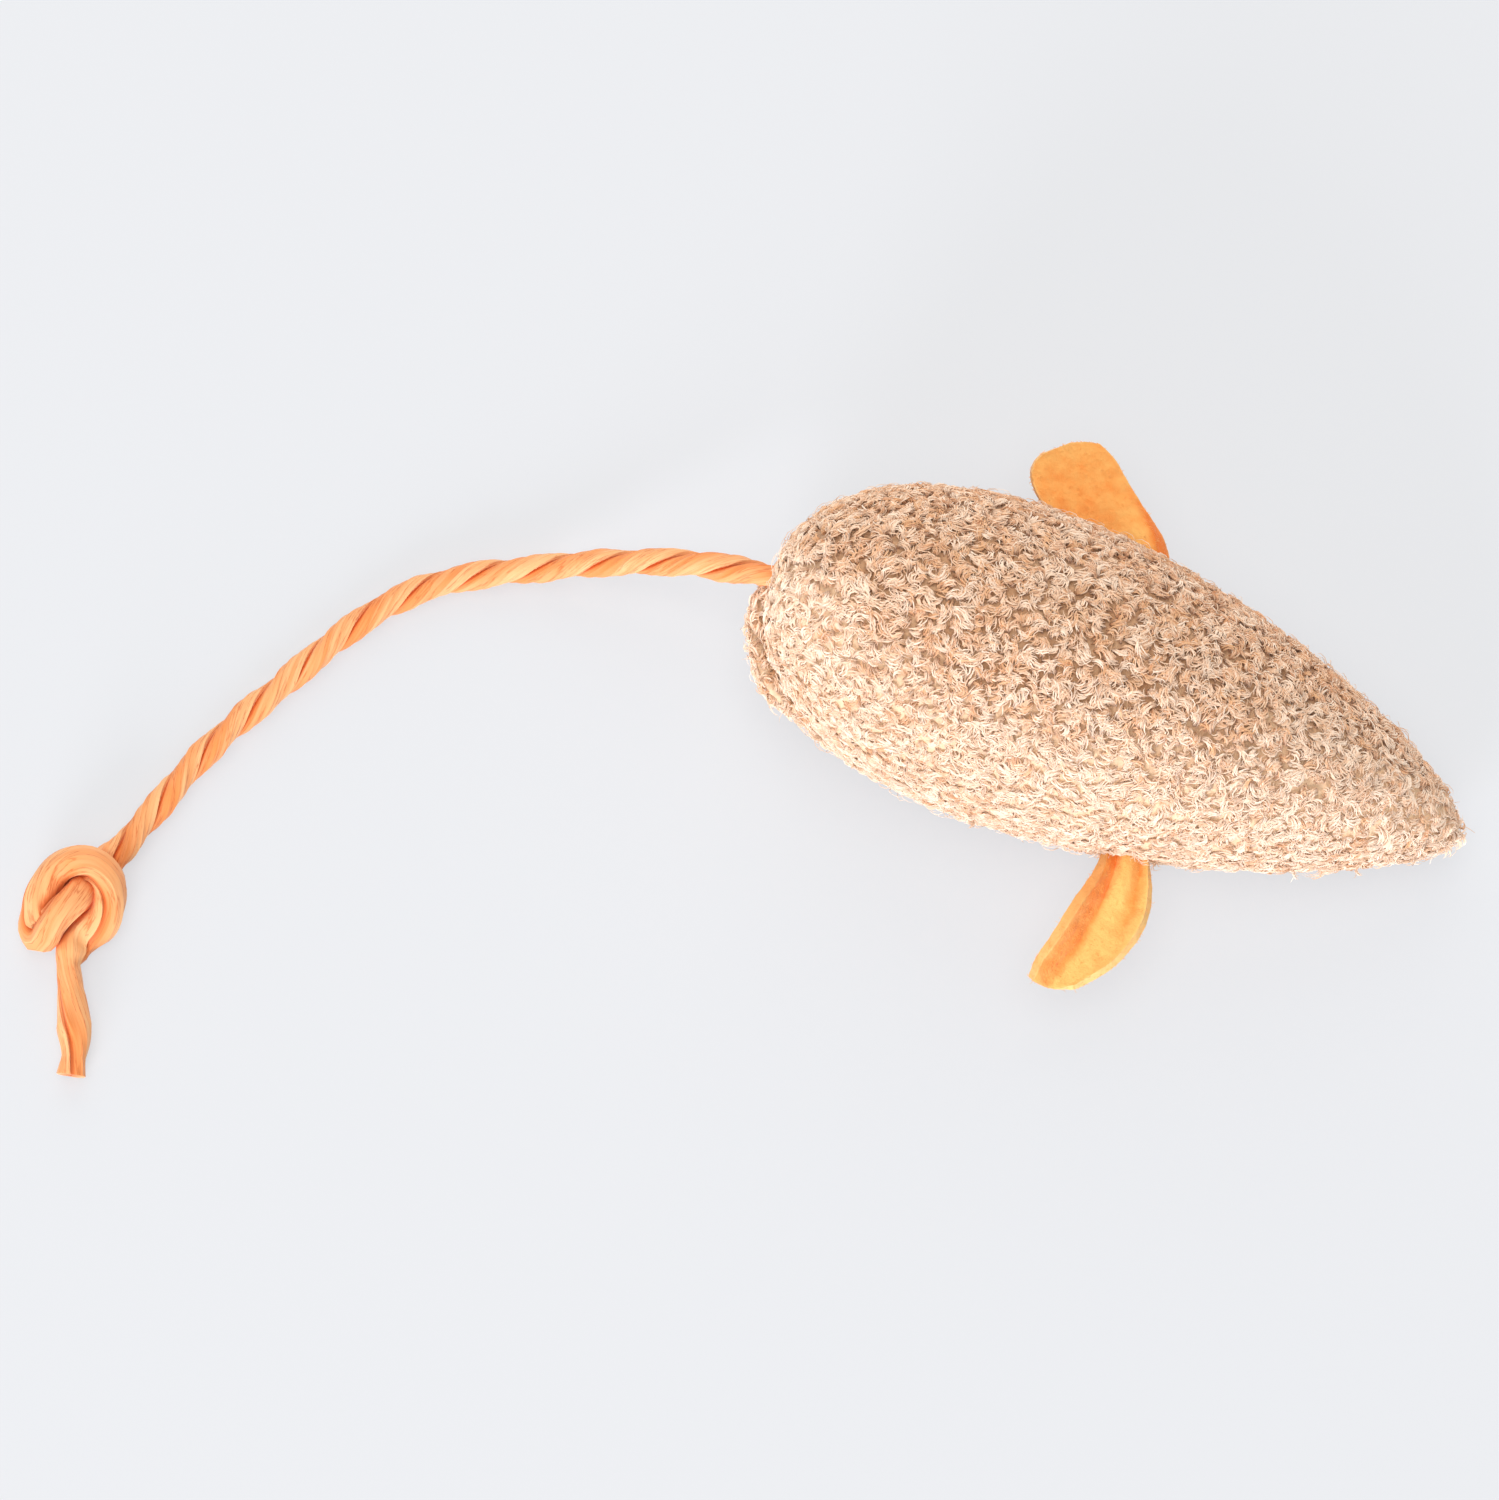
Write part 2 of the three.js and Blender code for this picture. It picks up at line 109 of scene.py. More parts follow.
# Places tried for a lock on each square centimetre, and the share of strands that stand out as wisps
TRIES = 1400
WISPS = 0.04
# The slants in degrees at which a strand of pile leaves the cloth and ends
RISE = 62
FALL = -36
# Fibres that stand off each square centimetre of the felt
FIBRES = 600

# Each lamp's place in metres by the picture's right, its up and the height, then its size, power and colour
LAMPS = (
    ("top_lamp", (-0.1, 0, 1.2), 1.2, 8.2, (1, 0.96, 0.9)),
    ("key_lamp", (-0.4, -0.85, 0.24), 0.46, 8.8, (0.98, 1, 1.08)),
    ("rim_lamp", (-0.1, 0.8, 0.5), 0.9, 4, (1, 0.96, 0.9)),
)
# How much of the floor's own colour the camera sees in any light, and the strength of the room's light
FLOOR_GLOW = 0.72
ROOM_LIGHT = 0.4

# Lines that each ear's felt runs through from its root to its tip, in millimetres from the fold: along
# the hinge, out from the body and up, then how light the felt is painted there, a painted light and shade
# of each ear's cup and folds. The rear edge comes first.
EAR_LINES = {
    "left": [
        [(-4, -4, 0, 0.5), (-5.5, -1.6, 0.2, 0.5), (-7.4, -0.5, 0.5, 0.5), (-9, 0.7, 0.7, 0.5),
         (-10, 2, 0.9, 0.5), (-10.2, 3.3, 1.1, 0.6), (-9.8, 4.5, 1.3, 0.6)],
        [(0.7, -4, 0, 0.5), (0.4, -1.4, 0.3, 0.5), (-1, 0.5, 0.5, 0.5), (-3, 2.1, 0.7, 0.5),
         (-5, 3.8, 0.9, 0.5), (-6.4, 5.4, 1.1, 0.6), (-7.4, 6.8, 1.3, 0.6)],
        [(4.3, -4, 0, 0.5), (5.4, -1.5, 1.8, 0.65), (4.2, 0.3, 1.9, 0.65), (1.9, 2.4, 1.6, 0.55),
         (-0.8, 4.8, 1.4, 0.5), (-3, 6.6, 1.4, 0.6), (-5.2, 7.8, 1.4, 0.6)],
        [(4.7, -4, 0, -0.3), (5.9, -1.4, 1.4, -0.4), (4.7, 0.5, 1.5, -0.3), (2.3, 2.6, 1.4, 0.2),
         (-0.4, 4.9, 1.35, 0.5), (-2.8, 6.8, 1.4, 0.6), (-4.9, 7.8, 1.4, 0.6)],
        [(5.5, -4, 0, -0.4), (7.2, -1.2, 0, -0.5), (5.9, 0.8, 0.2, -0.4), (3, 2.8, 0.9, 0.1),
         (0.2, 5.1, 1.3, 0.5), (-2.3, 7, 1.4, 0.6), (-4.4, 7.9, 1.4, 0.6)],
    ],
    "right": [
        [(3.2, -4, 0, 0.2), (3.5, -0.6, 0.5, 0.2), (4.3, 1.9, 1.5, 0.25), (5.9, 5, 2, 0.3),
         (7.4, 8.4, 1.5, 0.35), (8.7, 11, 0.5, 0.4), (9.3, 13.2, -0.8, 0.5)],
        [(1.8, -4, 0, 0.2), (1.8, -0.6, -0.6, 0.25), (2.3, 1.9, -0.8, 0.3), (3.4, 5, -0.9, 0.3),
         (4.7, 8.4, -1.2, 0.35), (6.1, 11.2, -1.7, 0.4), (7.4, 13.6, -2.1, 0.5)],
        [(0.8, -4, 0, 0.8), (0.8, -0.6, 0.5, 0.9), (1, 1.9, 0.4, 0.95), (1.9, 5, -0.6, 0.95),
         (3.2, 8.3, -1.2, 0.95), (4.9, 11.3, -1.8, 0.95), (6.6, 13.7, -2.2, 0.95)],
        [(-0.3, -4, 0, 0.2), (-0.6, -0.6, 0, 0.2), (-0.7, 1.9, 0, 0.25), (-0.3, 4.9, -0.2, 0.5),
         (0.7, 8, -0.5, 0.9), (2.6, 11, -1.1, 0.95), (5.4, 13.5, -2, 1)],
        [(-1.2, -4, 0, 0.9), (-1.6, -0.7, 0.3, 0.9), (-2, 2, 0.7, 0.9), (-2, 4.7, 0.8, 0.95),
         (-1.1, 7.5, 0.6, 1), (0.9, 10.5, -0.2, 1), (4.2, 13.2, -1.5, 1)],
    ],
}


# Settings


class StageSettings(bpy.types.PropertyGroup):
    """Camera, light and backdrop."""

    aim: FloatVectorProperty(
        name="Aim", description="Point that the camera looks at", subtype="XYZ", unit="LENGTH",
        default=(-0.0357, -0.01892, 0.015),
    )
    elevation: FloatProperty(
        name="Elevation", description="How far above the table the camera stands", subtype="ANGLE",
        default=math.radians(79),
    )
    turn: FloatProperty(
        name="Turn", description="How far the picture is turned about the upright", subtype="ANGLE",
        default=math.radians(19.667),
    )
    distance: FloatProperty(
        name="Distance", description="From the camera to its aim", unit="LENGTH", default=0.55,
    )
    field: FloatProperty(
        name="Field", description="Width of the picture at the aim", unit="LENGTH", default=0.15995,
    )
    backdrop: FloatVectorProperty(
        name="Backdrop", description="Colour of the floor", subtype="COLOR", min=0, max=1,
        default=(0.79, 0.805, 0.835),
    )


class TerrySettings(bpy.types.PropertyGroup):
    """Looped pile cloth of the body."""

    pile: FloatProperty(
        name="Pile", description="Height of the pile over the cloth", unit="LENGTH", default=0.0007,
    )
    strand: FloatProperty(
        name="Strand", description="Length of one strand of pile", unit="LENGTH", default=0.002,
    )
    thickness: FloatProperty(
        name="Thickness", description="Thickness of one strand", unit="LENGTH", default=0.00015,
    )
    gap: FloatProperty(
        name="Gap", description="Least gap between the roots of two locks of pile", unit="LENGTH",
        default=0.00058,
    )
    strands: IntProperty(name="Strands", description="Strands in each lock on the back", default=9)
    tip: FloatVectorProperty(
        name="Tip", description="Colour of the pile's tips", subtype="COLOR", min=0, max=1,
        default=(1, 0.735, 0.49),
    )
    # The root colour is a painted shade, the pile painted darker deep between its strands; the backing and
    # the thread take it too.
    root: FloatVectorProperty(
        name="Root", description="Colour deep in the pile", subtype="COLOR", min=0, max=1,
        default=(0.38, 0.165, 0.066),
    )


class FeltSettings(bpy.types.PropertyGroup):
    """Felt of the ears."""

    thickness: FloatProperty(
        name="Thickness", description="Thickness of the felt", unit="LENGTH", default=0.0012,
    )
    colour: FloatVectorProperty(
        name="Colour", description="Colour of the felt", subtype="COLOR", min=0, max=1,
        default=(1, 0.38, 0.085),
    )
    # The rim colour is a painted light: the felt's edges are painted paler, standing in for light through the
    # felt and lifting their shaded walls.
    rim: FloatVectorProperty(
        name="Rim", description="Colour of the cut edge's fibres", subtype="COLOR", min=0, max=1,
        default=(1, 0.68, 0.28),
    )


class CordSettings(bpy.types.PropertyGroup):
    """Twisted paper cord of the tail."""

    diameter: FloatProperty(name="Diameter", description="Over the strands", unit="LENGTH", default=0.0032)
    lay: FloatProperty(
        name="Lay", description="Length in which a strand goes once round the cord", unit="LENGTH",
        default=0.0145,
    )
    crossing: FloatProperty(
        name="Crossing", description="A length from the root at which one strand crosses over the other",
        unit="LENGTH", default=0.0566,
    )
    colour: FloatVectorProperty(
        name="Colour", description="Colour of the paper", subtype="COLOR", min=0, max=1,
        default=(0.85, 0.275, 0.072),
    )
    # The crease colour is a painted shade, painted in the creases between the strands, along the pleats and
    # where the knot's turns touch.
    crease: FloatVectorProperty(
        name="Crease", description="Colour deep between the strands", subtype="COLOR", min=0, max=1,
        default=(0.58, 0.09, 0.008),
    )


# Mesh helpers


def choose(*objects):
    """Select these objects alone, with the first one active."""
    bpy.ops.object.select_all(action="DESELECT")
    for obj in objects:
        obj.select_set(True)
    bpy.context.view_layer.objects.active = objects[0]


def shape_with(obj, kind, **settings):
    """Add a modifier, set it and apply it."""
    choose(obj)
    modifier = obj.modifiers.new(kind.title(), kind)
    for key, value in settings.items():
        setattr(modifier, key, value)
    bpy.ops.object.modifier_apply(modifier=modifier.name)


def edit_all(obj, operator, **settings):
    """Run an edit-mode operator on the whole of an object's mesh."""
    choose(obj)
    bpy.ops.object.mode_set(mode="EDIT")
    bpy.ops.mesh.select_all(action="SELECT")
    operator(**settings)
    bpy.ops.object.mode_set(mode="OBJECT")


def points_of(obj, key="co"):
    values = np.empty(len(obj.data.vertices) * 3, np.float32)
    obj.data.vertices.foreach_get(key, values)
    return values.reshape(-1, 3).astype(float)


def normals_of(obj):
    return points_of(obj, "normal")


def move_points(obj, points):
    obj.data.vertices.foreach_set("co", points.astype(np.float32).ravel())
    obj.data.update()


def add_object(name, mesh):
    obj = bpy.data.objects.new(name, mesh)
    bpy.context.collection.objects.link(obj)
    return obj


def new_piece(name, points, *face_groups):
    """A mesh object from points and arrays of faces, each array with one count of corners."""
    mesh = bpy.data.meshes.new(name)
    mesh.vertices.add(len(points))
    mesh.vertices.foreach_set("co", np.asarray(points, np.float32).ravel())
    corners = np.concatenate([group.ravel() for group in face_groups])
    counts = np.concatenate([np.full(len(group), group.shape[1]) for group in face_groups])
    mesh.loops.add(len(corners))
    mesh.loops.foreach_set("vertex_index", corners.astype(np.int32))
    mesh.polygons.add(len(counts))
    mesh.polygons.foreach_set("loop_start", (np.cumsum(counts) - counts).astype(np.int32))
    mesh.update(calc_edges=True)
    mesh.shade_smooth()
    return add_object(name, mesh)


def add_values(obj, name, values):
    """One number for each point, for a material to read."""
    attribute = obj.data.attributes.new(name, "FLOAT", "POINT")
    attribute.data.foreach_set("value", np.asarray(values, np.float32))


def add_map(obj, name, across, along):
    """A UV map from two numbers for each point."""
    layer = obj.data.uv_layers.new(name=name)
    corners = np.empty(len(obj.data.loops), np.int32)
    obj.data.loops.foreach_get("vertex_index", corners)
    layer.data.foreach_set("uv", np.stack([across, along], 1)[corners].astype(np.float32).ravel())


def unit(vectors):
    return vectors / np.maximum(np.linalg.norm(vectors, axis=-1, keepdims=True), 1e-12)


def smooth_step(values, low, high):
    share = np.clip((values - low) / (high - low), 0, 1)
    return share * share * (3 - 2 * share)


def wobble(points, scale):
    """Smooth noise at each of these points."""
    return np.array([noise.noise(place * scale) for place in map(Vector, points)])


def curve_through(points, per_span):
    """Points on a centripetal Catmull-Rom curve."""
    points = np.asarray(points, float)
    ends = [2 * points[0] - points[1], *points, 2 * points[-1] - points[-2]]
    out = []
    for corners in zip(ends, ends[1:], ends[2:], ends[3:]):
        gaps = [max(1e-9, np.linalg.norm(q - p)) ** 0.5 for p, q in zip(corners, corners[1:])]
        times = np.cumsum([0] + gaps)
        for t in np.linspace(times[1], times[2], per_span, endpoint=False):
            out.append(point_on_span(corners, times, t))
    out.append(points[-1])
    return np.array(out)


def point_on_span(corners, times, t):
    """The four corners blended in pairs, three times over, at a time between the middle two."""

    def between(p, q, low, high):
        return (p * (times[high] - t) + q * (t - times[low])) / (times[high] - times[low])

    first = [between(corners[i], corners[i + 1], i, i + 1) for i in range(3)]
    second = [between(first[i], first[i + 1], i, i + 2) for i in range(2)]
    return between(*second, 1, 2)


def lengths_along(path):
    return np.concatenate([[0], np.cumsum(np.linalg.norm(np.diff(path, axis=0), axis=1))])


def in_steps(path, count):
    """So many points on the same line, one length apart."""
    at = lengths_along(path)
    return np.stack([np.interp(np.linspace(0, at[-1], count), at, column) for column in path.T], 1)


# Material helpers


class Finish:
    """A Principled material and short calls to add nodes to it."""

    def __init__(self, name, **sockets):
        self.material = bpy.data.materials.new(name)
        self.material.use_nodes = True
        self.tree = self.material.node_tree
        self.shader = self.tree.nodes["Principled BSDF"]
        for key, value in sockets.items():
            self.shader.inputs[key.replace("_", " ")].default_value = value

    def add(self, kind, settings=None, **sockets):
        node = self.tree.nodes.new(kind)
        for key, value in (settings or {}).items():
            setattr(node, key, value)
        for key, value in sockets.items():
            self.feed(node.inputs[key.replace("_", " ")], value)
        return node

    def feed(self, socket, value):
        """Link a node's output to a socket, or set the socket to a constant."""
        if isinstance(value, bpy.types.NodeSocket):
            self.tree.links.new(value, socket)
        else:
            socket.default_value = value

    def link(self, source, key):
        self.tree.links.new(source, self.shader.inputs[key])

    def value(self, name):
        return self.add("ShaderNodeAttribute", {"attribute_name": name}).outputs["Fac"]

    def place(self):
        return self.add("ShaderNodeTexCoord").outputs["Object"]

    def map(self, name, scale):
        uv = self.add("ShaderNodeUVMap", {"uv_map": name}).outputs["UV"]
        return self.add("ShaderNodeMapping", Vector=uv, Scale=scale).outputs["Vector"]

    def noise(self, vector, scale, detail=3, roughness=0.5):
        return self.add(
            "ShaderNodeTexNoise", Vector=vector, Scale=scale, Detail=detail, Roughness=roughness
        ).outputs["Fac"]

    def spread(self, value, low, high, to_low, to_high):
        return self.add(
            "ShaderNodeMapRange", Value=value, From_Min=low, From_Max=high, To_Min=to_low, To_Max=to_high
        ).outputs["Result"]

    def math(self, operation, first, second):
        node = self.add("ShaderNodeMath", {"operation": operation})
        for socket, value in zip(node.inputs, (first, second)):
            self.feed(socket, value)
        return node.outputs["Value"]

    def mix(self, factor, first, second, mode="MIX"):
        node = self.add("ShaderNodeMix", {"data_type": "RGBA", "blend_type": mode})
        self.feed(node.inputs[0], factor)
        for index, colour in ((6, first), (7, second)):
            linked = isinstance(colour, bpy.types.NodeSocket)
            self.feed(node.inputs[index], colour if linked else (*colour, 1))
        return node.outputs[2]

    def done(self, colour, height, distance, strength):
        """Link the colour and a bump, and hand over the material."""
        self.link(colour, "Base Color")
        bump = self.add("ShaderNodeBump", Height=height, Distance=distance, Strength=strength)
        self.link(bump.outputs["Normal"], "Normal")
        return self.material


# Stage


class MOUSE_OT_stage(bpy.types.Operator):
    """Set up the camera, the floor and the lamps"""

    bl_idname = "catnip_mouse.stage"
    bl_label = "Stage"

    def execute(self, context):
        stage = context.scene.mouse_stage
        place_camera(context, stage)
        lay_floor(stage)
        light_up(context, stage)
        context.scene.view_settings.view_transform = "Standard"
        return {"FINISHED"}


def place_camera(context, stage):
    tilt = math.pi / 2 - stage.elevation
    bpy.ops.object.camera_add(rotation=(tilt, 0, stage.turn))
    camera = context.object
    camera.name = "camera"
    camera.data.angle = 2 * math.atan(stage.field / 2 / stage.distance)
    camera.data.clip_start = 0.01
    back = camera.rotation_euler.to_matrix() @ Vector((0, 0, 1))
    camera.location = Vector(stage.aim) + back * stage.distance
    context.scene.camera = camera


def lay_floor(stage):
    """A pale floor that shows the camera most of its own colour, so the shadows on it stay faint."""
    bpy.ops.mesh.primitive_plane_add(size=6)
    floor = bpy.context.object
    floor.name = "floor"
    finish = Finish("pale_floor", Base_Color=(*stage.backdrop, 1), Roughness=0.9, Specular_IOR_Level=0.1)
    glow = finish.add("ShaderNodeEmission", Color=(*stage.backdrop, 1), Strength=1.0)
    seen = finish.math("MULTIPLY", seen_directly(finish.tree), FLOOR_GLOW)
    show(finish.tree, seen, finish.shader, glow, "Material Output")
    floor.data.materials.append(finish.material)


def seen_directly(tree):
    """1 for rays from the camera, mirrors and glass."""
    path = tree.nodes.new("ShaderNodeLightPath")
    total = path.outputs["Is Camera Ray"]
    for kind in ("Is Glossy Ray", "Is Transmission Ray"):
        either = tree.nodes.new("ShaderNodeMath")
        either.operation = "MAXIMUM"
        tree.links.new(total, either.inputs[0])
        tree.links.new(path.outputs[kind], either.inputs[1])
        total = either.outputs["Value"]
    return total


def show(tree, share, plain, shown, output):
    """Send the output a mix of two shaders, with so much of the second."""
    mix = tree.nodes.new("ShaderNodeMixShader")
    sources = (share, plain.outputs[0], shown.outputs[0])
    for source, socket in zip(sources, mix.inputs):
        tree.links.new(source, socket)
    tree.links.new(mix.outputs[0], tree.nodes[output].inputs["Surface"])


def light_up(context, stage):
    world = bpy.data.worlds.new("soft_room")
    world.use_nodes = True
    tree = world.node_tree
    room = tree.nodes["Background"]
    room.inputs["Color"].default_value = (0.98, 0.99, 1, 1)
    room.inputs["Strength"].default_value = ROOM_LIGHT
    pale = tree.nodes.new("ShaderNodeBackground")
    pale.inputs["Color"].default_value = (*stage.backdrop, 1)
    show(tree, seen_directly(tree), room, pale, "World Output")
    context.scene.world = world
    for lamp in LAMPS:
        add_lamp(stage, *lamp)


def add_lamp(stage, name, place, size, power, colour):
    """An area lamp placed by the picture's own right and up, aimed at the mouse."""
    right = Vector((math.cos(stage.turn), math.sin(stage.turn), 0))
    up = Vector((-math.sin(stage.turn), math.cos(stage.turn), 0))
    place = right * place[0] + up * place[1] + Vector((0, 0, place[2]))
    bpy.ops.object.light_add(type="AREA", location=place)
    lamp = bpy.context.object
    lamp.name = name
    lamp.rotation_euler = (-place).to_track_quat("-Z", "Y").to_euler()
    lamp.data.shape = "DISK"
    lamp.data.size = size
    lamp.data.energy = power
    lamp.data.color = colour


# Tail


class MOUSE_OT_tail(bpy.types.Operator):
    """Twist the paper cord of the tail, with its knot"""

    bl_idname = "catnip_mouse.tail"
    bl_label = "Tail"

    def execute(self, context):
        cord = context.scene.mouse_cord
        paper = twisted_paper(cord)
        path, knot_at = tail_path()
        at = lengths_along(path)
        cuts = [0, *(round(cut / at[1]) for cut in TAIL_CUTS), len(path) - 1]
        pieces = (
            ("tail_base_cord", "tail_swing", ("tail_root", "tail_base"), "object"),
            ("tail_middle_cord", "tail_lift", ("tail_middle",), "object"),
            ("tail_tip_cord", "tail_curl", ("tail_tip", "tail_knot", "tail_end"), "knot"),
        )
        for (name, joint, nodes, far_end), first, last in zip(pieces, cuts, cuts[1:]):
            piece = cord_piece(name, cord, path, range(first, last + 1), knot_at)
            piece.data.materials.append(paper)
            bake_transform(piece)
            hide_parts(*nodes)
        return {"FINISHED"}


def nearest(path, place):
    return int(np.argmin(np.linalg.norm(path - np.array(place), axis=1)))


def tail_path():
    """The cord's centreline from inside the seam to its cut end, and how far along the knot starts."""
    turn = math.radians(KNOT_TURN)
    cos, sin = math.cos(turn), math.sin(turn)
    spin = np.array([[cos, sin, 0], [-sin, cos, 0], [0, 0, 1]])
    knot = np.array([*KNOT_ROUTE, *END_ROUTE]) @ spin + KNOT_CENTRE
    route = np.array([*TAIL_ROUTE, *knot]) * MM
    line = curve_through(route, 12)
    path = in_steps(line, round(lengths_along(line)[-1] / STEP))
    return path, lengths_along(path)[nearest(path, knot[0] * MM)]


def carried_ways(path):
    """The ways ahead, to the side and over the cord, carried along it without a twist."""
    ahead = unit(np.gradient(path, axis=0))
    side = np.empty_like(path)
    side[0] = unit(np.cross(ahead[0], (0, 0, 1)))
    for i in range(1, len(path)):
        side[i] = unit(side[i - 1] - ahead[i] * (side[i - 1] @ ahead[i]))
    return ahead, side, np.cross(ahead, side)


def wound_strands(cord, path, span, knot_at):
    """The points of the two strands' rings, their painted crease shade, their tones (a painted shade across
    each strand, varied at random) and their places on the paper.
    """
    at = lengths_along(path)
    ahead, side, over = carried_ways(path)
    points, crease_shade, tone, across, along = [], [], [], [], []
    for strand in range(2):
        for i in span:
            size = cord_size(at[i], knot_at, at[-1]) * cord.diameter / 2
            loose = float(smooth_step(at[i], knot_at - 1 * MM, knot_at + 4 * MM))
            wound = min(at[i], knot_at) + KNOT_TWIST * max(0, at[i] - knot_at)
            lay = -2 * math.pi * (wound - cord.crossing) / cord.lay + math.pi * strand
            out = side[i] * math.cos(lay) + over[i] * math.sin(lay)
            beside = np.cross(ahead[i], out)
            ring = folded_ring(at[i] / MM, strand, loose)
            points.extend(path[i] + (out * ring[:, :1] + beside * ring[:, 1:]) * size)
            # Painted shade in the crease: darker towards the edge tucked under the other strand, and less so
            # where the knot loosens.
            tucked = smooth_step(np.arctan2(ring[:, 1], ring[:, 0]), 1.12, 1.38)
            tucked[-1] = 1
            crease_shade.extend(tucked * (1 - 0.3 * loose))
            tone.extend(facet_shades_and_tones(at[i] / MM, strand, len(ring)))
            across.extend(strand + np.arange(len(ring)) / len(ring))
            along.extend([at[i] / cord.lay] * len(ring))
    return (np.array(values) for values in (points, crease_shade, tone, across, along))


def cord_piece(name, cord, path, span, knot_at):
    """One stretch of the cord: two strands of folded paper that wind round each other to the left."""
    points, crease_shade, tone, across, along = wound_strands(cord, path, span, knot_at)
    corners = len(points) // 2 // len(span)
    rings = np.arange(len(points)).reshape(2, len(span), corners)
    beside = np.roll(rings, -1, axis=2)
    quads = np.stack([rings[:, :-1], beside[:, :-1], beside[:, 1:], rings[:, 1:]], -1).reshape(-1, 4)
    points[:, 2] = np.maximum(points[:, 2], 0.02 * MM)
    piece = new_piece(name, points, quads, rings[:, 0, ::-1], rings[:, -1])
    station = np.tile(np.repeat(np.array(span), corners), 2)
    # Painted crease shade, also where turns of the knot lie against each other.
    add_values(piece, "crease_shade", np.maximum(crease_shade, touching_shade(points, station, path, cord.diameter / 2)))
    add_values(piece, "tone", tone)
    add_map(piece, "paper", across, along)
    choose(piece)
    bpy.ops.object.shade_smooth_by_angle(angle=math.radians(28))
    return piece


def touching_shade(points, station, path, radius):
    """1 where a point of the cord lies against another turn of it in the knot, for a painted shade there."""
    at = lengths_along(path)
    apart = np.linalg.norm(points[:, None] - path[None], axis=2)
    same_turn = 7 * MM
    apart[np.abs(at[station][:, None] - at[None]) < same_turn] = 1
    return 1 - smooth_step(apart.min(axis=1), 0.95 * radius, 1.7 * radius)


def folded_ring(s, strand, loose):
    """A strand's half of the cord's outline: flat facets between wandering folds, closed at the middle.

    One edge lies over the other strand and the far edge is tucked under it.
    """
    crumple = 0.12 + 0.06 * loose
    corners = []
    for fold in range(FOLDS + 1):
        place = 2 * fold / FOLDS - 1
        wander = 0.16 * (1 - abs(place)) * noise.noise((s / 9, 3.1 * fold, 17 * strand))
        angle = (place + wander) * math.pi / 2
        notch = 0.44 - 0.2 * loose if place > 0 else 0.2 - 0.1 * loose
        dent = crumple * noise.noise((s / 4, 5.3 * fold, 17 * strand + 40))
        reach = 1 - notch * (1 - math.cos(angle)) + dent
        corners.append((reach * math.cos(angle), reach * math.sin(angle)))
    corners = np.array(corners)
    shares = np.arange(FACET_POINTS)[:, None] / FACET_POINTS
    arc = [a + (b - a) * shares for a, b in zip(corners, corners[1:])]
    return np.concatenate([*arc, corners[-1:], [(0.02, 0)]])


def facet_shades_and_tones(s, strand, count):
    """The facets darken from one edge of a strand to the other, a painted shade across the strand's curve,
    and some more than others at random.
    """
    facets = [
        1 - 0.2 * fold + 0.7 * noise.noise((s / 10, 7.7 * fold + 3, 11 * strand + 90))
        for fold in range(FOLDS)
    ]
    tones = np.repeat(facets, FACET_POINTS)
    return np.append(tones, [facets[-1]] * (count - len(tones)))


def cord_size(s, knot_at, total):
    """How thick the cord is there: a little fuller in the knot, and loosened along the stub."""
    into = (s - (total - STUB)) / STUB
    if into < 0:
        lumps = 0.27 + 0.2 * noise.noise((s / (5 * MM), 8.2, 0))
        return 1 + lumps * float(smooth_step(np.array(s), knot_at - 2 * MM, knot_at + 4 * MM))
    return float(np.interp(into, [0, 0.1, 0.3, 0.6, 0.85, 1], [1.27, 0.9, 0.95, 1.2, 0.86, 1.02]))


def twisted_paper(cord):
    finish = Finish("twisted_paper", Roughness=0.6, Specular_IOR_Level=0.35, Sheen_Weight=0.1)
    pleats = finish.noise(finish.map("paper", (7, 1.3, 1)), 1, 4, 0.55)
    fibres = finish.noise(finish.map("paper", (34, 5, 1)), 1, 5, 0.6)
    # The pale colour is a painted highlight: the facets run from the paper's colour on their shaded side to
    # it on the side the lamps light, with random tone and pleats.
    pale = tuple(min(1, c * k) for c, k in zip(cord.colour, (1.08, 1.78, 3)))
    tone = finish.math("ADD", finish.value("tone"), finish.spread(pleats, 0.35, 0.65, -0.25, 0.25))
    colour = finish.mix(tone, cord.colour, pale)
    colour = finish.mix(finish.spread(fibres, 0.52, 0.7, 0, 0.5), colour, cord.colour)
    # Thin lines of painted crease shade along the pleats.
    line = finish.math("ABSOLUTE", finish.math("SUBTRACT", pleats, 0.5), 0)
    colour = finish.mix(finish.spread(line, 0.003, 0.02, 0.6, 0), colour, cord.crease)
    # Painted shade in the creases between the strands and where the knot's turns touch.
    colour = finish.mix(finish.value("crease_shade"), colour, cord.crease)
    return finish.done(colour, pleats, 0.0003, 0.7)


# Body


class MOUSE_OT_body(bpy.types.Operator):
    """Blow up the cloth of the body and part it at the seam"""

    bl_idname = "catnip_mouse.body"
    bl_label = "Body"

    def execute(self, context):
        terry = context.scene.mouse_terry
        cloth = body_cloth(terry.pile)
        backing = knit_backing(terry)
        for name, node, above in (("back_cloth", "back_cover", True), ("belly_cloth", "belly_cover", False)):
            panel = body_panel(cloth, name, above)
            panel.data.materials.append(backing)
            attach(panel, "body")
            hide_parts(node)
        bpy.data.objects.remove(cloth)
        return {"FINISHED"}


def seam_height(x):
    """The seam runs level across the body and down from the rear to the nose."""
    rear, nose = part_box("belly_cover")[0].x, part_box("belly_cover")[1].x
    high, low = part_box("belly_cover")[1].z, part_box("back_cover")[0].z
    return high + (np.asarray(x) - rear) * (low - high) / (nose - rear)


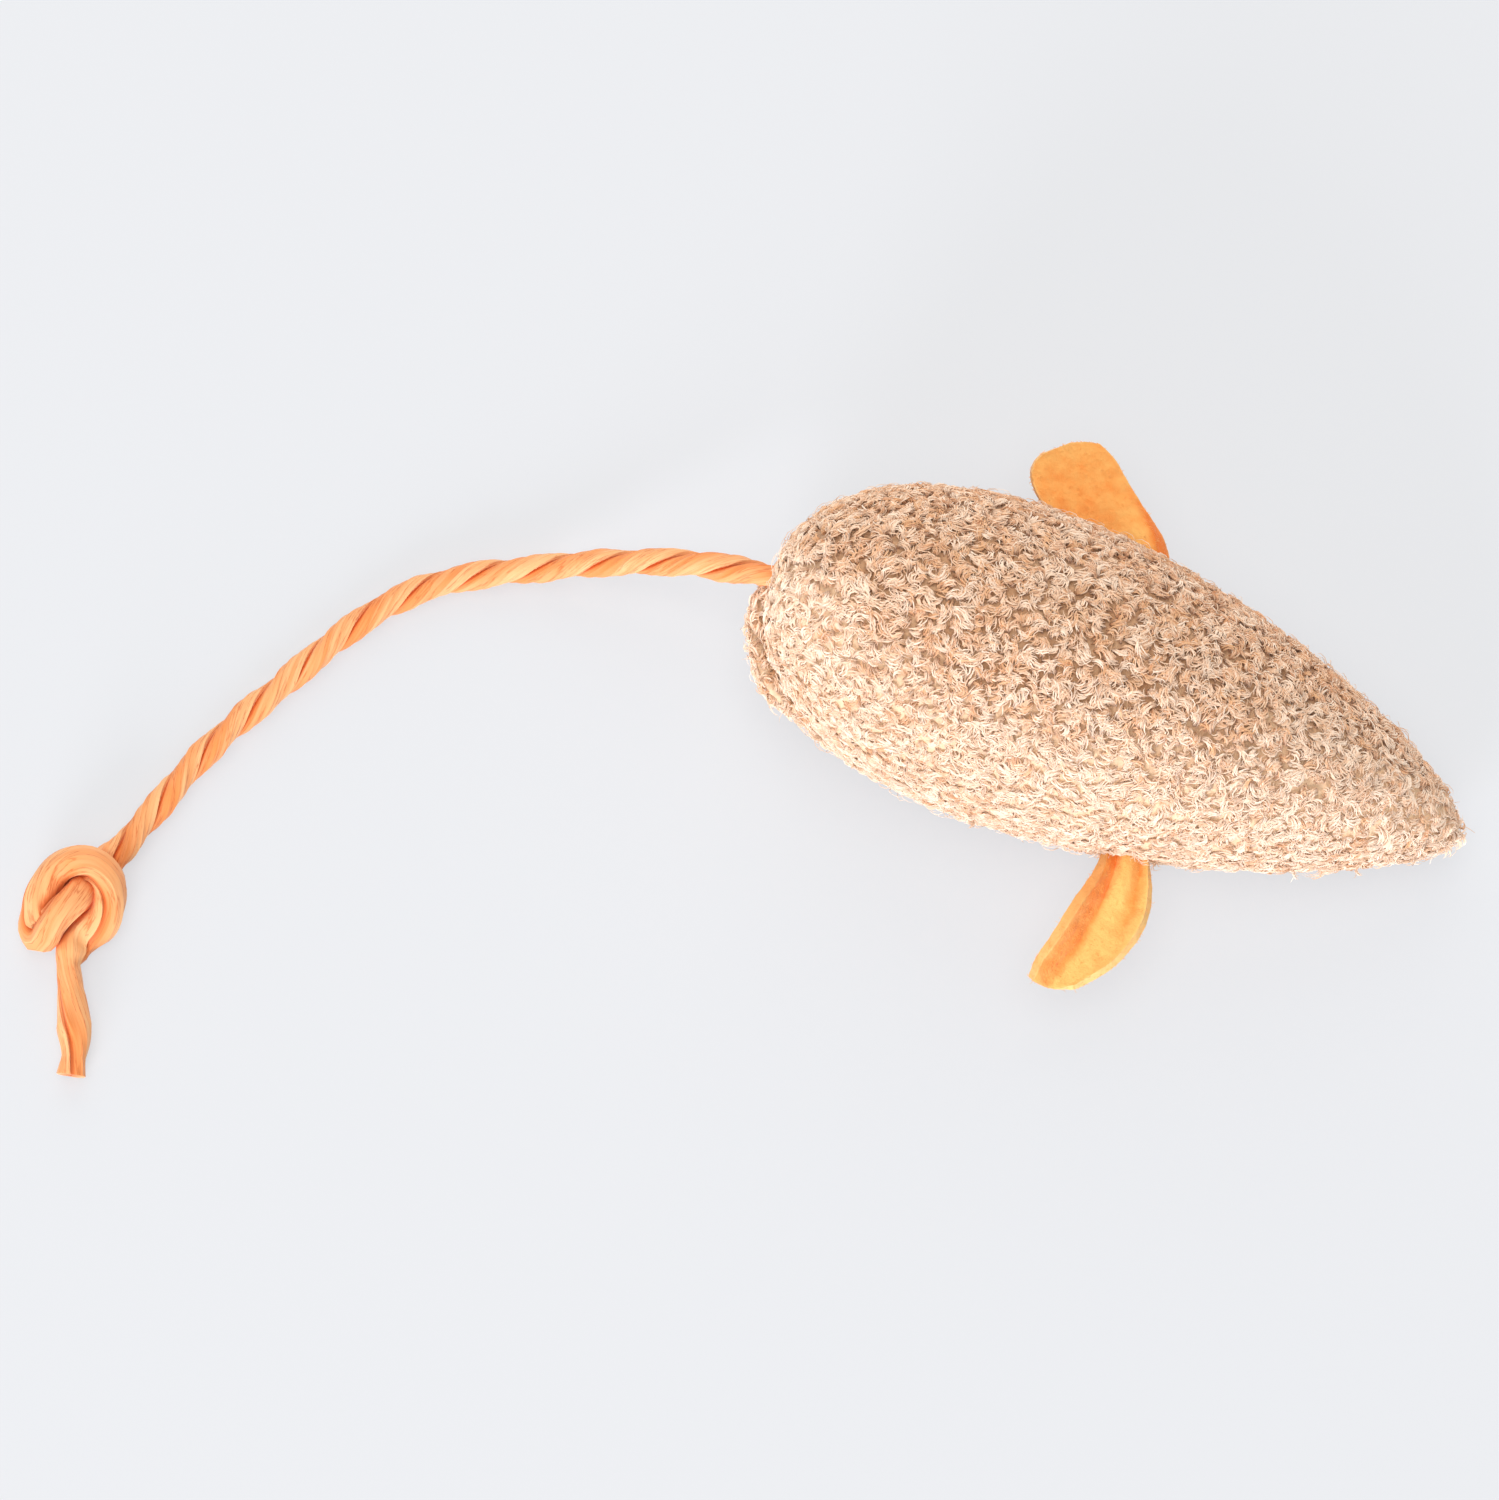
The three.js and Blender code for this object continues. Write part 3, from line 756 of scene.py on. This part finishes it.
def body_cloth(pile):
    """The whole body's cloth, swelled by its filling with the seam held in."""
    meshes = [frame["nodes"][node].data.copy() for node in ("back_cover", "belly_cover")]
    choose(*(add_object("body_half", mesh) for mesh in meshes))
    bpy.ops.object.join()
    cloth = bpy.context.object
    cloth.data.materials.clear()
    edit_all(cloth, bpy.ops.mesh.convex_hull)
    shape_with(cloth, "REMESH", mode="VOXEL", voxel_size=1.2 * MM)
    shape_with(cloth, "SMOOTH", factor=0.5, iterations=6)
    shape_with(cloth, "DISPLACE", strength=-(pile - 0.25 * MM), mid_level=0)
    inflate(cloth, cap=0.65 * MM)
    shape_with(cloth, "SUBSURF", levels=1, render_levels=1)
    close_gap(cloth)
    return cloth


def inflate(cloth, cap):
    """Swell the cloth by pressure, with the seam and the sole pinned. No point moves past the cap."""
    before = points_of(cloth)
    held = cloth.vertex_groups.new(name="held")
    from_seam = np.abs(before[:, 2] - seam_height(before[:, 0]))
    sole = before[:, 2] < before[:, 2].min() + 0.4 * MM
    for index, (gap, flat) in enumerate(zip(from_seam, sole)):
        weight = 1.0 if flat else float(np.clip(1.6 - gap / MM, 0, 1))
        if weight > 0:
            held.add([index], weight, "REPLACE")
    enlarge, frames = 100, 20
    move_points(cloth, before * enlarge)
    choose(cloth)
    modifier = cloth.modifiers.new("Cloth", "CLOTH")
    modifier.settings.quality = 6
    modifier.settings.use_pressure = True
    modifier.settings.uniform_pressure_force = 4
    modifier.settings.effector_weights.gravity = 0
    modifier.settings.vertex_group_mass = "held"
    for step in range(1, frames + 1):
        bpy.context.scene.frame_set(step)
    bpy.ops.object.modifier_apply(modifier=modifier.name)
    bpy.context.scene.frame_set(1)
    move = points_of(cloth) / enlarge - before
    reach = np.maximum(np.linalg.norm(move, axis=1, keepdims=True), 1e-9)
    move_points(cloth, before + move * np.minimum(1, cap / reach))


def close_gap(cloth):
    """The hand-closed gap at the right of the rear, where the belly's edge stands out as a lip."""
    points = points_of(cloth)
    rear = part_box("back_cover")[0].x
    below = seam_height(points[:, 0]) - points[:, 2]
    away = np.hypot(points[:, 0] - rear - 3 * MM, (points[:, 1] + 6 * MM) / 1.5)
    near = 1 - smooth_step(away, 3 * MM, 7.5 * MM)
    lip = near * smooth_step(below, -0.4 * MM, 0.5 * MM) * (1 - smooth_step(below, 2.5 * MM, 8 * MM))
    tuck = near * smooth_step(-below, -0.4 * MM, 0.3 * MM) * (1 - smooth_step(-below, 1 * MM, 5 * MM))
    outward = unit(np.stack([points[:, 0] + 20 * MM, points[:, 1], np.zeros(len(points))], 1))
    move_points(cloth, points + outward * (1.5 * lip - 0.9 * tuck)[:, None] * MM)


def body_panel(cloth, name, above):
    """The cloth above or below the seam, with its thickness turned inwards."""
    panel = add_object(name, cloth.data.copy())
    rear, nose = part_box("belly_cover")[0].x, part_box("belly_cover")[1].x
    slope = float(seam_height(nose) - seam_height(rear)) / (nose - rear)
    edit_all(
        panel, bpy.ops.mesh.bisect, plane_co=(rear, 0, float(seam_height(rear))), plane_no=(-slope, 0, 1),
        clear_inner=above, clear_outer=not above,
    )
    panel["outer_points"] = len(panel.data.vertices)
    # The share of painted light: the backing and the pile are painted paler on the lit flank.
    add_values(panel, "pale", flat_lit_flank(normals_of(panel)))
    shape_with(panel, "SOLIDIFY", thickness=0.9 * MM, offset=-1)
    panel.data.shade_smooth()
    return panel


def knit_backing(terry):
    finish = Finish("terry_backing", Roughness=0.95, Specular_IOR_Level=0.1, Sheen_Weight=0.2)
    knit = finish.add("ShaderNodeTexVoronoi", Vector=finish.place(), Scale=1500).outputs["Distance"]
    tone = finish.noise(finish.place(), 260, 3)
    # The backing is painted darker between the root and tip colours, a painted shade deep under the pile.
    colour = finish.mix(finish.spread(tone, 0.3, 0.7, 0.15, 0.5), terry.root, terry.tip)
    colour = finish.mix(finish.spread(knit, 0, 0.6, 0.5, 0), colour, tuple(0.6 * c for c in terry.root))
    # Painted light: the backing is painted paler on the lit flank.
    colour = finish.mix(finish.spread(finish.value("pale"), 0, 1, 0, 0.8), colour, terry.tip)
    return finish.done(colour, knit, 0.0003, 0.8)


# Pile


class MOUSE_OT_pile(bpy.types.Operator):
    """Cover the body in curly pile"""

    bl_idname = "catnip_mouse.pile"
    bl_label = "Pile"

    def execute(self, context):
        terry = context.scene.mouse_terry
        yarn = pile_yarn(terry)
        # Each panel, how many pieces its pile is cut into, the strands of a lock and the seed
        panels = (("back", 7, terry.strands, 3), ("belly", 3, terry.strands - 4, 4))
        for panel, parts, strands, seed in panels:
            pile = curly_pile(bpy.data.objects[f"{panel}_cloth"], terry, strands, seed)
            order = np.argsort(pile["places"][:, 0, 0])
            for number, chosen in enumerate(np.array_split(order, parts)):
                share = {key: values[chosen] for key, values in pile.items()}
                piece = strand_piece(f"{panel}_pile_{number + 1}", share)
                piece.data.materials.append(yarn)
                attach(piece, "body")
        return {"FINISHED"}


def surface_points(obj, density, random):
    """Random places on the outer face of a panel, so many to the square centimetre, with their normals."""
    mesh = obj.data
    mesh.calc_loop_triangles()
    corners = np.empty(len(mesh.loop_triangles) * 3, np.int32)
    mesh.loop_triangles.foreach_get("vertices", corners)
    corners = corners.reshape(-1, 3)
    corners = corners[(corners < obj.get("outer_points", len(mesh.vertices))).all(axis=1)]
    points, normals = points_of(obj), normals_of(obj)
    a, b, c = (points[corners[:, k]] for k in range(3))
    areas = np.linalg.norm(np.cross(b - a, c - a), axis=1) / 2
    number = int(density * areas.sum() / 1e-4)
    chosen = corners[random.choice(len(corners), number, p=areas / areas.sum())]
    u, v = random.random((2, number))
    flip = u + v > 1
    u[flip], v[flip] = 1 - u[flip], 1 - v[flip]
    share = np.stack([1 - u - v, u, v], 1)[:, :, None]
    return (points[chosen] * share).sum(1), unit((normals[chosen] * share).sum(1))


def curly_pile(panel, terry, strands, seed):
    """The strands of a panel. Those of one lock lie side by side in one curl, and a few are wisps."""
    random = np.random.default_rng(seed)
    places, normals = surface_points(panel, TRIES, random)
    kept = spread_out(places, terry.gap)
    number = np.where(normals[kept, 2] < SOLE, SOLE_STRANDS, strands)
    lock = np.repeat(np.arange(len(kept)), number)
    normals = normals[kept][lock]
    count = len(lock)
    forward, sideways = level_ways(normals)
    around = random.uniform(0, 2 * math.pi, count)[:, None]
    aside = 0.5 * terry.gap * np.sqrt(random.random(count))[:, None]
    roots = places[kept][lock] + (forward * np.cos(around) + sideways * np.sin(around)) * aside
    wisp = random.random(count) < WISPS
    pale = flat_lit_flank(normals)
    heading = random.uniform(0, 2 * math.pi, len(kept))[lock] + random.normal(0, 0.2, count)
    turn = random.choice((-1, 1), len(kept)) * random.uniform(1.4, 4, len(kept))
    turn = (turn[lock] + random.normal(0, 0.35, count)) * np.where(wisp, 0.4, 1)
    length = terry.strand * random.uniform(0.75, 1.2, len(kept))[lock] * random.uniform(0.8, 1.15, count)
    uneven = wobble(roots, 330)
    length *= 1 + 0.25 * uneven
    # Painted light: strands are painted paler on the lit flank; the rest of the tone varies at random.
    tone = 0.52 + 0.38 * pale + 0.4 * (1 - 0.6 * pale) * uneven
    steep = random.uniform(0.75, 1.2, count) * np.where(wisp, 1.25, 1 - 0.28 * pale)
    length *= np.where(wisp, 1.35, 1)
    places, ways = grow(roots, normals, heading, turn, RISE * steep, FALL * steep, length)
    return {
        "places": places, "ways": ways, "up": normals, "pale": pale,
        "radius": terry.thickness / 2 * random.uniform(0.85, 1.2, count) * np.where(wisp, 0.45, 1),
        "tone": np.clip(tone + random.normal(0, 0.3, len(kept))[lock] + random.normal(0, 0.2, count), 0, 1),
    }


def spread_out(places, gap):
    """Which of these places to keep, in order, so that all are a gap apart."""
    tree = kdtree.KDTree(len(places))
    for index, place in enumerate(places):
        tree.insert(place, index)
    tree.balance()
    crowded = np.zeros(len(places), bool)
    kept = []
    for index, place in enumerate(places):
        if not crowded[index]:
            kept.append(index)
            crowded[[near for _, near, _ in tree.find_range(place, gap)]] = True
    return np.array(kept)


def level_ways(normals):
    """Two ways along the cloth, towards the tail and across it."""
    forward = unit(np.cross(np.cross(normals, (-1, 0.15, 0.02)), normals))
    return forward, np.cross(normals, forward)


def flat_lit_flank(normals):
    """1 where the pile lies flatter and is painted paler, a painted light on the right flank and the ends
    where the lamps fall, and 0 on the top and the left.
    """
    level = np.hypot(normals[:, 0], normals[:, 1])
    left = normals @ np.array((-0.34, 0.94, 0))
    return smooth_step(level + 0.2 * np.abs(normals[:, 0]) - 1.2 * np.maximum(left, 0), 0.25, 0.8)


def grow(roots, normals, heading, turn, lift, drop, length):
    """Centrelines that rise from the roots at one slant in degrees, end at another, and turn as they go."""
    forward, sideways = level_ways(normals)
    places, ways = [roots - normals * 0.15 * MM], []
    for done in np.linspace(0, 1, STATIONS):
        slant = np.radians(lift + (drop - lift) * done**0.7)[:, None]
        yaw = (heading + turn * done)[:, None]
        way = (forward * np.cos(yaw) + sideways * np.sin(yaw)) * np.cos(slant) + normals * np.sin(slant)
        ways.append(way)
        places.append(places[-1] + way * (length / (STATIONS - 1))[:, None])
    return np.stack(places[:-1], 1), np.stack(ways, 1)


def strand_piece(name, strands):
    """Thin three-sided strands that run to a point."""
    places, ways = strands["places"], strands["ways"]
    across = unit(np.cross(ways, strands["up"][:, None] + 0.37 * np.roll(ways, 1, axis=2)))
    over = np.cross(ways, across)
    radius = strands["radius"][:, None, None] * np.array([0.95, 1.1, 1.1, 0.9])[None, :, None]
    rings = []
    for k in range(SIDES):
        angle = 2 * math.pi * k / SIDES
        spoke = across * math.cos(angle) + over * math.sin(angle)
        rings.append(places[:, :-1] + spoke[:, :-1] * radius)
    rings = np.stack(rings, 2).reshape(len(places), -1, 3)
    points = np.concatenate([rings, places[:, -1:]], 1)
    points[..., 2] = np.maximum(points[..., 2], 0.04 * MM)
    each = points.shape[1]
    base = np.arange(len(places))[:, None, None] * each
    walls = [
        (r * SIDES + k, r * SIDES + (k + 1) % SIDES, (r + 1) * SIDES + (k + 1) % SIDES, (r + 1) * SIDES + k)
        for r in range(STATIONS - 2) for k in range(SIDES)
    ]
    last = each - 1 - SIDES
    ends = [(last + k, last + (k + 1) % SIDES, each - 1) for k in range(SIDES)] + [(2, 1, 0)]
    walls, ends = (base + np.array(walls)).reshape(-1, 4), (base + np.array(ends)).reshape(-1, 3)
    piece = new_piece(name, points.reshape(-1, 3), walls, ends)
    piece.data.shade_flat()
    height = np.append(np.repeat(np.arange(STATIONS - 1), SIDES), STATIONS - 1) / (STATIONS - 1)
    # On the lit flank the painted root shade is lifted, a painted light.
    add_values(piece, "height", np.maximum(height, 0.34 * strands["pale"][:, None]).ravel())
    add_values(piece, "tone", np.repeat(strands["tone"], each))
    return piece


def pile_yarn(terry):
    finish = Finish(
        "terry_pile", Roughness=0.9, Specular_IOR_Level=0.1, Sheen_Weight=0.3, Sheen_Roughness=0.5
    )
    # Painted shade: each strand is painted from the dark root colour at the cloth up to the tip colour
    # halfway along, for the shade deep in the pile.
    lit = finish.spread(finish.value("height"), 0, 0.5, 0, 1)
    colour = finish.mix(lit, terry.root, terry.tip)
    # The tone makes strands paler and cooler on the lit flank, a painted light, and varies them at random
    # elsewhere.
    tint = finish.mix(finish.value("tone"), (0.83, 0.665, 0.555), (1, 1.1, 1.32))
    finish.link(finish.mix(1.0, colour, tint, "MULTIPLY"), "Base Color")
    return finish.material


# Ears


class MOUSE_OT_ears(bpy.types.Operator):
    """Cut and curl the felt ears"""

    bl_idname = "catnip_mouse.ears"
    bl_label = "Ears"

    def execute(self, context):
        felt = context.scene.mouse_felt
        finish = ear_felt(felt)
        for side, lines in EAR_LINES.items():
            ear = ear_leaf(f"{side}_ear_felt", side, lines, felt)
            fuzz = strand_piece(f"{side}_ear_fuzz", loose_fibres(ear))
            for piece in (ear, fuzz):
                piece.data.materials.append(finish)
                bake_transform(piece)
            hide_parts(f"{side}_ear", f"{side}_ear_root")
        return {"FINISHED"}


def ear_frame(side):
    """The middle of the fold, and the ways along it, out from the body and up."""
    hinge = JOINTS[f"{side}_ear_fold"]
    along = Vector(hinge["axis"]).normalized()
    out = Vector((0, 0, 1)).cross(along).normalized()
    return Vector(hinge["pos_m"]), along, out, along.cross(out)


def ear_leaf(name, side, lines, felt):
    rows, columns = 44, 28
    runs = [in_steps(curve_through(line, 10), rows) for line in lines]
    grid = np.array([in_steps(curve_through(places, 12), columns) for places in zip(*runs)])
    grid = grid.reshape(-1, 4)
    # The rim marks the edges for a painted light there.
    rim = np.zeros((rows, columns))
    rim[:, (0, -1)] = 1
    rim[-1] = 1
    fold, along, out, up = ear_frame(side)
    points = grid[:, :3] @ np.array([along, out, up]) * MM + np.array(fold)
    bpy.ops.mesh.primitive_grid_add(x_subdivisions=columns - 1, y_subdivisions=rows - 1, size=1)
    ear = bpy.context.object
    ear.name = name
    ear.data.name = name
    move_points(ear, points)
    add_values(ear, "tone", grid[:, 3])
    add_values(ear, "rim", rim.ravel())
    shape_with(ear, "SOLIDIFY", thickness=felt.thickness, offset=0)
    shape_with(ear, "BEVEL", width=0.5 * MM, segments=3, limit_method="ANGLE", angle_limit=math.radians(50))
    shape_with(ear, "SUBSURF", levels=1, render_levels=1)
    wool = points_of(ear)
    bumps = 0.10 * wobble(wool, 700) + 0.05 * wobble(wool, 1900)
    move_points(ear, wool + normals_of(ear) * bumps[:, None] * MM)
    edit_all(ear, bpy.ops.mesh.normals_make_consistent, inside=False)
    ear.data.shade_smooth()
    return ear


def loose_fibres(ear):
    """Fine fibres that stand off the felt all over."""
    random = np.random.default_rng(7)
    roots, normals = surface_points(ear, FIBRES, random)
    count = len(roots)
    places, ways = grow(
        roots, normals, random.uniform(0, 2 * math.pi, count), random.normal(0, 1.5, count),
        random.uniform(10, 80, count), random.uniform(-10, 30, count),
        random.uniform(0.25, 0.65, count) * MM,
    )
    return {
        "places": places, "ways": ways, "up": normals, "pale": np.zeros(count),
        "radius": np.full(count, 0.022 * MM), "tone": random.uniform(0.4, 0.9, count),
    }


def ear_felt(felt):
    finish = Finish(
        "orange_felt", Roughness=0.92, Specular_IOR_Level=0.12, Sheen_Weight=0.25, Sheen_Roughness=0.4
    )
    place = finish.place()
    clouds = finish.noise(place, 620, 4)
    fibres = finish.noise(place, 2600, 5, 0.7)
    light = tuple(min(1, c * k) for c, k in zip(felt.colour, (1.02, 1.45, 2)))
    dark = tuple(c * k for c, k in zip(felt.colour, (0.95, 0.62, 0.4)))
    # The tone from each ear's lines is a painted light and shade of the cup and folds, with mottling of the
    # felt on top.
    tone = finish.math("ADD", finish.value("tone"), finish.spread(clouds, 0.3, 0.7, -0.14, 0.3))
    colour = finish.mix(tone, dark, light)
    colour = finish.mix(finish.spread(fibres, 0.5, 0.75, 0, 0.3), colour, light)
    # Painted light: the edges are painted paler towards the rim colour, as if light shone through the felt.
    colour = finish.mix(finish.spread(finish.value("rim"), 0.2, 1, 0, 0.4), colour, felt.rim)
    return finish.done(colour, fibres, 0.0002, 0.7)


# Seam


class MOUSE_OT_seam(bpy.types.Operator):
    """Sew the seam round the body and close the gap by hand"""

    bl_idname = "catnip_mouse.seam"
    bl_label = "Seam"

    def execute(self, context):
        thread = sewing_thread(context.scene.mouse_terry)
        line = seam_line()
        gap = (line[:, 0] < -31 * MM) & (line[:, 1] < -2 * MM)
        # Each seam with its node, the places, length and slant of its stitches
        runs = (
            ("seam_stitches", "seam_thread", line[~gap][::5], 1.9 * MM, 0.1),
            ("closing_stitches", "closing_thread", line[gap][::3], 1.7 * MM, 1.1),
        )
        for name, node, places, length, slant in runs:
            piece = stitches(name, places, length, slant)
            piece.data.materials.append(thread)
            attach(piece, "body")
            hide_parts(node)
        return {"FINISHED"}


def seam_line():
    """Points half a millimetre apart round the edge of the back's cloth."""
    panel = bpy.data.objects["back_cloth"]
    points = points_of(panel)[: panel["outer_points"]]
    edge = points[np.abs(points[:, 2] - seam_height(points[:, 0])) < 0.01 * MM]
    edge = edge[np.argsort(np.arctan2(edge[:, 1], edge[:, 0] + 10 * MM))]
    loop = np.concatenate([edge, edge[:1]])
    return in_steps(loop, round(lengths_along(loop)[-1] / STEP))[:-1]


def stitches(name, places, length, slant):
    """Short arched stitches of thread, each slanted over the seam by so much."""
    ahead = unit(np.roll(places, -1, axis=0) - np.roll(places, 1, axis=0))
    out = unit(np.cross(ahead, (0, 0, 1)))
    up = np.cross(out, ahead)
    way = unit(ahead * math.cos(slant) + up * math.sin(slant))
    stations, sides, radius = 7, 6, 0.14 * MM
    points = []
    for station in range(stations):
        share = station / (stations - 1) * 2 - 1
        middle = places + way * share * length / 2 + out * (0.25 - 0.75 * share * share) * MM
        for side in range(sides):
            angle = 2 * math.pi * side / sides
            across = np.cross(out, way)
            points.append(middle + (out * math.cos(angle) + across * math.sin(angle)) * radius)
    points = np.stack(points, 1)
    rings = np.arange(stations * sides).reshape(stations, sides)
    beside = np.roll(rings, -1, axis=1)
    walls = np.stack([rings[:-1], rings[1:], beside[1:], beside[:-1]], -1).reshape(-1, 4)
    ends = np.stack([rings[0], rings[-1, ::-1]])
    base = np.arange(len(places))[:, None, None] * stations * sides
    return new_piece(
        name, points.reshape(-1, 3), (base + walls).reshape(-1, 4), (base + ends).reshape(-1, sides)
    )


def sewing_thread(terry):
    finish = Finish("sewing_thread", Roughness=0.6, Specular_IOR_Level=0.3, Sheen_Weight=0.2)
    plies = finish.noise(finish.place(), 4200, 2)
    colour = finish.mix(finish.spread(plies, 0.3, 0.7, 0, 1), terry.root, terry.tip)
    return finish.done(colour, plies, 0.00008, 0.7)


# Filling


class MOUSE_OT_filling(bpy.types.Operator):
    """Fill the body with fibre and a pocket of dried catnip"""

    bl_idname = "catnip_mouse.filling"
    bl_label = "Filling"

    def execute(self, context):
        for piece, material, node, slot in (
            (fibre_stuffing(), fibre_wadding(), "stuffing", "filling"),
            (catnip_flakes(), dried_leaf(), "catnip", "herb"),
        ):
            piece.data.materials.append(material)
            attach(piece, "body")
            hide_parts(node)
        return {"FINISHED"}


def fibre_stuffing():
    """The CAD's stuffing, remeshed into soft lumps a little inside the cloth."""
    stuffing = add_object("fibre_stuffing", frame["nodes"]["stuffing"].data.copy())
    stuffing.data.materials.clear()
    shape_with(stuffing, "REMESH", mode="VOXEL", voxel_size=1.1 * MM)
    shape_with(stuffing, "SMOOTH", factor=0.5, iterations=3)
    points = points_of(stuffing)
    lumps = wobble(points, 260)
    move_points(stuffing, points + normals_of(stuffing) * (0.5 * lumps - 0.6)[:, None] * MM)
    stuffing.data.shade_smooth()
    return stuffing


def catnip_flakes():
    """Crumbled leaf: one folded flake, copied at random through the pocket."""
    low, high = (np.array(corner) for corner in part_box("catnip"))
    random = np.random.default_rng(12)
    count = 420
    way = unit(random.normal(size=(count, 3)))
    centre = (low + high) / 2 + way * (high - low) / 2 * 0.9 * random.random((count, 1)) ** (1 / 3)
    flake = np.array([
        (-1, 0, 0), (-0.3, 0.6, 0.2), (0.5, 0.5, 0.25), (1.1, 0, 0.05), (0.4, -0.5, 0.3), (-0.4, -0.55, 0.2),
        (0, 0, -0.1), (0, 0, -0.22),
    ]) * MM
    rim = np.arange(6)
    top = np.stack([rim, np.roll(rim, -1), np.full(6, 6)], 1)
    under = np.stack([np.roll(rim, -1), rim, np.full(6, 7)], 1)
    faces = np.concatenate([top, under])[:, ::-1]
    turn = unit(random.normal(size=(count, 3)))
    side = unit(np.cross(turn, random.normal(size=(count, 3))))
    axes = np.stack([turn, side, np.cross(turn, side)], 1)
    size = random.uniform(0.6, 1.2, (count, 1, 1))
    points = centre[:, None] + np.einsum("pk,nkd->npd", flake, axes) * size
    points = np.clip(points, low + 0.1 * MM, high - 0.1 * MM)
    base = np.arange(count)[:, None, None] * len(flake)
    return new_piece("catnip_flakes", points.reshape(-1, 3), (base + faces).reshape(-1, 3))


def fibre_wadding():
    finish = Finish("fibre_wadding", Roughness=0.95, Specular_IOR_Level=0.1, Sheen_Weight=0.3)
    strands = finish.noise(finish.place(), 1400, 5, 0.7)
    colour = finish.mix(finish.spread(strands, 0.3, 0.7, 0, 1), (0.74, 0.73, 0.7), (0.92, 0.92, 0.9))
    return finish.done(colour, strands, 0.0005, 0.8)


def dried_leaf():
    finish = Finish("dried_leaf", Roughness=0.85, Specular_IOR_Level=0.15)
    veins = finish.noise(finish.place(), 900, 4)
    colour = finish.mix(finish.spread(veins, 0.35, 0.65, 0, 1), (0.10, 0.11, 0.035), (0.27, 0.28, 0.11))
    return finish.done(colour, veins, 0.0001, 0.6)


# Panel


class MOUSE_PT_panel(bpy.types.Panel):
    """The mouse's settings and the steps that build it"""

    bl_idname = "MOUSE_PT_panel"
    bl_label = "Catnip mouse"
    bl_space_type = "VIEW_3D"
    bl_region_type = "UI"
    bl_category = "Catnip mouse"

    def draw(self, context):
        for name, group in SETTINGS.items():
            box = self.layout.box()
            box.label(text=group.__doc__)
            for key in group.__annotations__:
                box.prop(getattr(context.scene, name), key)
        for step in STEPS:
            self.layout.operator(step.bl_idname)


SETTINGS = {
    "mouse_stage": StageSettings,
    "mouse_terry": TerrySettings,
    "mouse_felt": FeltSettings,
    "mouse_cord": CordSettings,
}
STEPS = (
    MOUSE_OT_stage, MOUSE_OT_tail, MOUSE_OT_body, MOUSE_OT_pile, MOUSE_OT_ears, MOUSE_OT_seam,
    MOUSE_OT_filling,
)


def register():
    for part in (*SETTINGS.values(), *STEPS, MOUSE_PT_panel):
        bpy.utils.register_class(part)
    for name, group in SETTINGS.items():
        setattr(bpy.types.Scene, name, PointerProperty(type=group))


def unregister():
    for name in SETTINGS:
        delattr(bpy.types.Scene, name)
    for part in reversed((*SETTINGS.values(), *STEPS, MOUSE_PT_panel)):
        bpy.utils.unregister_class(part)


def main():
    register()
    bpy.ops.catnip_mouse.stage()
    bpy.ops.catnip_mouse.tail()
    bpy.ops.catnip_mouse.body()
    bpy.ops.catnip_mouse.pile()
    bpy.ops.catnip_mouse.ears()
    bpy.ops.catnip_mouse.seam()
    bpy.ops.catnip_mouse.filling()


if __name__ == "__main__":
    main()
